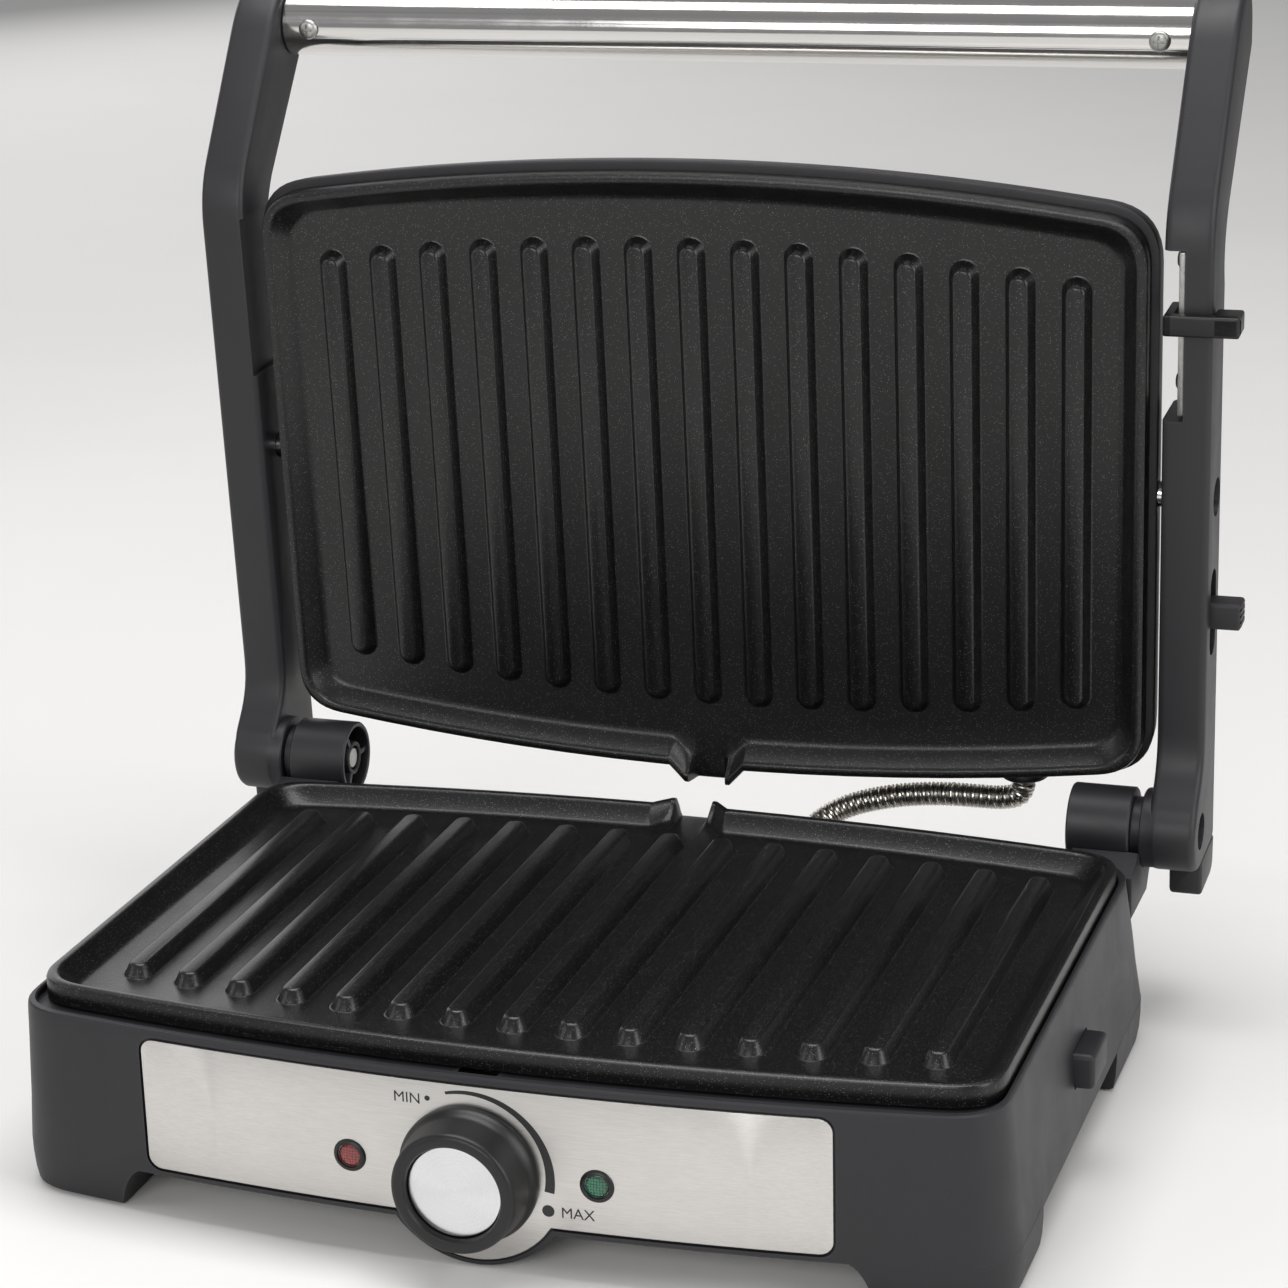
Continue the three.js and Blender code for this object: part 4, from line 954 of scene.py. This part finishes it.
def makeSliders(look):
    screws, t = armLook["trackScrews"], armLook["trackT"]
    strip = block((154.3, -186, 5), (156.2, -135, 22), 0.35, 2)
    holes = [rod(1.8, (150, -s, t), (160, -s, t), 24) for s in screws]
    groove = block((153.5, -178.5, 11.6), (155.1, -147.5, 14.4), 0.3, 2)
    piece("heightTrack", worked(strip, [*holes, groove]), "zinc", "arms", ["height_track"], lidPlace)
    for i, s in enumerate(screws):
        screw = screwShape(2.9, 1.5, 1.4, 6, (154, -s, t), (-1, 0, 0))
        piece(f"trackScrew{i + 1}", screw, "zinc", "arms", [f"track_screw_{i + 1}"], lidPlace)
    s, h, x0, reach = (look[k] for k in ("heightS", "halfTall", "inside", "reach"))
    bars = ((x0, reach, 2.2, 0.7), (x0, x0 + 3, 15, 0.7), (165.3, reach, 9, 0.9))    # from x, to x, top, rounding
    tab = merged(*[block((a, -s - h, -1.6), (b, -s + h, top), round, 3) for a, b, top, round in bars])
    piece("heightSlider", tab, "knobPlastic", "height_slider", ["height_slider"], lidPlace)
    release = block((157.2, -73.35, 9.6), (174.4, -64.65, 18.4), 1.2, 4)
    ridges = [block((173.9, -72 + 2.1 * i, 9), (175.5, -71.2 + 2.1 * i, 19)) for i in range(4)]
    piece("lidReleaseSlider", worked(release, ridges), "armPlastic", "lid_release", ["lid_release_slider"], lidPlace)


makeSliders(sliderLook)
print("handle and sliders made")


# lid housing
housing = {"halfWidth": 147.4, "front": -207.9 - upperMiddle, "rear": -2.6 - upperMiddle, "corner": 16.0}
lidLook = {"low": 12.0, "split": 27.8, "lean": 3.5, "glandX": 104.0, "glandZ": 20.8,
           # inset, height, how far the front moves back
           "dome": ((2.2, 28.1, 0), (2.45, 30.8, 0.8), (2.9, 33.8, 1.5), (3.6, 36.3, 2.1), (4.9, 38.8, 2.8), (7, 41, 3.5),
                    (10, 42.8, 4), (14.5, 44.1, 4), (20, 44.9, 4), (26, 45.3, 4))}


def makeLid(look):
    low, split = look["low"], look["split"]
    lean = {**housing, "front": housing["front"] + look["lean"]}
    waist = {**housing, "halfWidth": 147.0, "front": housing["front"] + 1}
    brim = {**lean, "halfWidth": 145.8, "rear": housing["rear"] - 1}
    loops = [bowedOutline(housing, 8.4, low), bowedOutline(housing, 0.9, low), bowedOutline(housing, 0.25, low + 0.25),
             bowedOutline(housing, 0, low + 0.9), bowedOutline(waist, 0, 19.8), bowedOutline(brim, 0, split - 0.6),
             bowedOutline(brim, 0.5, split), bowedOutline(lean, 4.4, split), bowedOutline(housing, 2.8, low + 2.4),
             bowedOutline(housing, 8.4, low + 2.4), bowedOutline(housing, 8.4, low)]
    bm = stacked(loops, closed=False)
    gland = Vector((look["glandX"], housing["rear"] - bow * look["glandX"] ** 2, look["glandZ"]))
    tools = [block((-13.5, housing["rear"] - 10, low - 1), (13.5, housing["rear"] + 3, 13.4)),
             rod(6.3, gland - Vector((0, 8, 0)), gland + Vector((0, 3, 0)))]
    y, z = -armLook["pivotS"] - upperMiddle, armLook["pivotT"]
    tools += [rod(4.3, (s * 140, y, z), (s * 150, y, z)) for s in (-1, 1)]
    piece("lidFrame", worked(bm, tools), "casePlastic", "lid_housing", ["upper_frame"], lidMiddle, bevel=0.3, limit=50)
    dome = [bowedOutline({**lean, "front": lean["front"] + back}, inset, z) for inset, z, back in look["dome"]]
    cover = stacked(dome + [bowedOutline(lean, 60, look["dome"][-1][1])])
    bottom = [f for f in cover.faces if f.calc_center_median().z < split + 0.4]
    bmesh.ops.delete(cover, geom=bottom, context="FACES_ONLY")
    bmesh.ops.solidify(cover, geom=cover.faces[:], thickness=1.0)
    piece("lidCover", cover, "coverSteel", "lid_housing", ["top_cover"], lidMiddle)
    ring = [(4.4, -10), (5.9, -10), (5.9, 0.5), (7.8, 0.7), (8, 1.1), (8, 2.5), (7.5, 3), (5.1, 3), (4.4, 2.4)]
    piece("lidGland", turned(ring, gland, (0, 1, 0), 48), "knobPlastic", "lid_housing", ["conduit_gland_lid"], lidMiddle)


makeLid(lidLook)
print("lid made")


# conduit, heating elements and other swept pieces
def curvePoints(points, count):    # smooth run through the points, evenly spaced
    pts = [Vector(p) for p in points]
    raw = []
    for i in range(len(pts) - 1):
        p0, p1, p2, p3 = pts[max(i - 1, 0)], pts[i], pts[i + 1], pts[min(i + 2, len(pts) - 1)]
        second, third = 2 * p0 - 5 * p1 + 4 * p2 - p3, 3 * p1 - p0 - 3 * p2 + p3
        raw += [0.5 * (2 * p1 + (p2 - p0) * t + second * t * t + third * t ** 3) for t in (k / 24 for k in range(24))]
    raw.append(pts[-1])
    far = [0.0]
    for a, b in zip(raw, raw[1:]):
        far.append(far[-1] + (b - a).length)
    out, k = [], 0
    for i in range(count):
        want = far[-1] * i / (count - 1)
        while k < len(far) - 2 and far[k + 1] < want:
            k += 1
        share = (want - far[k]) / max(far[k + 1] - far[k], 1e-9)
        out.append(raw[k].lerp(raw[k + 1], share))
    return out, far[-1]


def sweptWire(points, radius, sides=2):    # round wire through the points, as a mesh with closed ends
    curve = bpy.data.curves.new("wire", "CURVE")
    curve.dimensions, curve.bevel_depth, curve.bevel_resolution, curve.use_fill_caps = "3D", radius, sides, True
    spline = curve.splines.new("POLY")
    spline.points.add(len(points) - 1)
    for point, p in zip(spline.points, points):
        point.co = (*p, 1)
    bm = workedOut(placed("wire", curve))
    bmesh.ops.remove_doubles(bm, verts=bm.verts, dist=1e-4)
    bmesh.ops.recalc_face_normals(bm, faces=bm.faces)
    return bm


def coiledSheath(points, radius, wire, pitch):    # close-wound steel strip round a core
    line, length = curvePoints(points, 200)
    turns = length / pitch
    count = int(turns * 14)
    spine, _ = curvePoints(points, count + 1)
    side = Vector((0, 1, 0))
    coil = []
    for i, p in enumerate(spine):
        ahead = (spine[min(i + 1, count)] - spine[max(i - 1, 0)]).normalized()
        side = (side - ahead * side.dot(ahead)).normalized()
        up = ahead.cross(side)
        a = math.tau * turns * i / count
        coil.append(p + (side * math.cos(a) + up * math.sin(a)) * (radius - wire))
    return merged(sweptWire(coil, wire, 2), sweptWire(line, radius - wire * 1.5, 3))


sheathLook = {"radius": 4.0, "wire": 0.66, "pitch": 1.34,
              "lower": ((31, 109.8, 46), (31, 116, 46.2), (33, 123, 48.5), (39, 128.5, 53), (48, 130.8, 57),
                        (60, 131, 60.4), (71, 131, 62.2), (80.2, 131, 62.9)),
              "upper": ((80.2, 131, 62.9), (88, 131, 63), (96, 131, 63.2), (102, 130.9, 64.9), (104, 130.8, 69.8))}


def makeConduit(look):
    lower, upper = (coiledSheath(look[k], look["radius"], look["wire"], look["pitch"]) for k in ("lower", "upper"))
    low = piece("conduitLower", lower, "sheath", None, ["conduit_lower"])
    high = piece("conduitUpper", upper, "sheath", None, ["conduit_upper"])
    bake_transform(low)
    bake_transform(high)
    ring = [(4.4, 0), (5.9, 0), (5.9, 10.8), (7.8, 11), (8, 11.4), (8, 13.4), (7.4, 14), (5.1, 14), (4.4, 13.4)]
    x, z = baseLook["conduitAt"]
    piece("baseGland", turned(ring, (x, 95.5, z), (0, 1, 0), 48), "knobPlastic", "base", ["conduit_gland_base"])
    bush = [(3.4, -0.5), (7, -0.5), (8.8, 0), (9, 0.4), (9, 2.2), (8.6, 2.5), (7, 2.6), (6.9, 9), (6.5, 9.2),
            (6.5, 10.2), (6.8, 10.4), (6.5, 13.4), (6.1, 14.5), (4.2, 14.7), (3.4, 14.2)]
    x, z = baseLook["inletAt"]
    piece("inletBush", turned(bush, (x, 97.5, z), (0, 1, 0), 48), "rubber", "base", ["cord_inlet_bush"])


heaterLook = {"halfWidth": 92, "near": 52, "far": -58, "radius": 3, "lower": (50.9, -2.55, -8), "upper": (17.9, 0, 8)}


def elementRun(look, z, middle, away):    # a loop whose two ends turn up into the housing
    x, near, far = look["halfWidth"], middle + look["near"], middle + look["far"]
    half = [(34, near - 6, z + away), (35, near - 5, z + away * 0.4), (41, near - 1, z), (x - 14, near, z),
            (x - 3, near - 5, z), (x, near - 20, z), (x, far + 20, z), (x - 3, far + 5, z), (x - 14, far, z)]
    line, _ = curvePoints([(-a, b, c) for a, b, c in half] + [(0, far - 2, z)] + half[::-1], 170)
    return sweptWire(line, look["radius"], 3)


def makeElements(look):
    piece("lowerHeater", elementRun(look, *look["lower"]), "heaterSteel", "base", ["lower_element"])
    piece("upperHeater", elementRun(look, *look["upper"]), "heaterSteel", "lid_housing", ["upper_element"], lidMiddle)


makeConduit(sheathLook)
makeElements(heaterLook)
print("conduit and heaters made")


# feet and bottom screws
def makeUnderside(look):
    foot = [(0, 0.6), (4.6, 0.6), (5.2, 0), (8.2, 0), (8.7, 0.5), (8.9, 4.8), (8.7, 5), (0, 5)]
    for i, (x, y) in enumerate(look["feet"]):
        piece(f"rubberFoot{i + 1}", turned(foot, (x, y, 0), (0, 0, 1), 48), "rubber", "base", [f"rubber_foot_{i + 1}"])
    for i, (x, y) in enumerate(look["screws"]):
        screw = screwShape(3.4, 1.8, 1.5, 10, (x, y, look["screwZ"]), (0, 0, -1))
        piece(f"bottomScrew{i + 1}", screw, "zinc", "base", [f"bottom_screw_{i + 1}"])


makeUnderside(baseLook)


# finishes for the CAD pieces that stay
kept = {"zinc": ("bottom_cover", "thermostat_shaft", "release_guide", "release_spring"),
        "coverSteel": ("lower_reflector", "upper_reflector"),
        "ceramic": ("thermostat", "terminal_block", "red_lamp_holder", "green_lamp_holder")}
for finish, names in kept.items():
    for name in names:
        mesh = frame["nodes"][name].data
        mesh.materials.clear()
        mesh.materials.append(materials[finish])
print("kept pieces finished")


# stage and lights
floorLook = {"dark": "e2e1df", "light": "e9e8e6"}


def makeStage(look):
    floor = bmesh.new()
    bmesh.ops.create_grid(floor, x_segments=1, y_segments=1, size=6)
    mesh = bpy.data.meshes.new("floor")
    floor.to_mesh(mesh)
    floor.free()
    material, tree, shader = startMaterial("paleFloor", Roughness=0.85)
    feed(tree, toneOf(tree, grainOf(tree, 300.0, 1.5)["Drift"], look), shader["Base Color"])
    mesh.materials.append(material)
    placed("floor", mesh)


lightLooks = {
    "overhead": {"place": (0.0, 0.1, 1.6), "aimAt": (0, 0.0, 0.1), "size": (1.4, 0.7), "power": 18.0},
    "backLeft": {"place": (-1.5, 1.7, 0.95), "aimAt": (-0.05, 0, 0.08), "size": (2.2, 1.5), "power": 13.0},
    "rightBox": {"place": (1.6, -0.4, 0.8), "aimAt": (0, 0, 0.12), "size": (0.7, 1.2), "power": 12.0},
    "leftBox": {"place": (-1.5, -0.9, 0.8), "aimAt": (0, 0, 0.12), "size": (0.6, 1.2), "power": 4.0},
    "frontFill": {"place": (0.0, -2.1, 1.0), "aimAt": (0, 0, 0.12), "size": (1.5, 0.8), "power": 18.0},
}


def makeLights(lights):
    for name, look in lights.items():
        data = bpy.data.lights.new(name, "AREA")
        data.shape, data.size, data.size_y, data.energy = "RECTANGLE", *look["size"], look["power"]
        lamp = placed(name, data)
        lamp.location = look["place"]
        lamp.rotation_euler = (Vector(look["aimAt"]) - Vector(look["place"])).to_track_quat("-Z", "Y").to_euler()
    world = bpy.data.worlds.new("studio")
    world.use_nodes = True
    back = world.node_tree.nodes["Background"]
    back.inputs["Color"].default_value, back.inputs["Strength"].default_value = (0.93, 0.93, 0.95, 1), 0.3
    bpy.context.scene.world = world


makeStage(floorLook)
makeLights(lightLooks)
bpy.context.scene.view_settings.view_transform = "Standard"
print("stage and lights made")

bpy.context.view_layer.update()
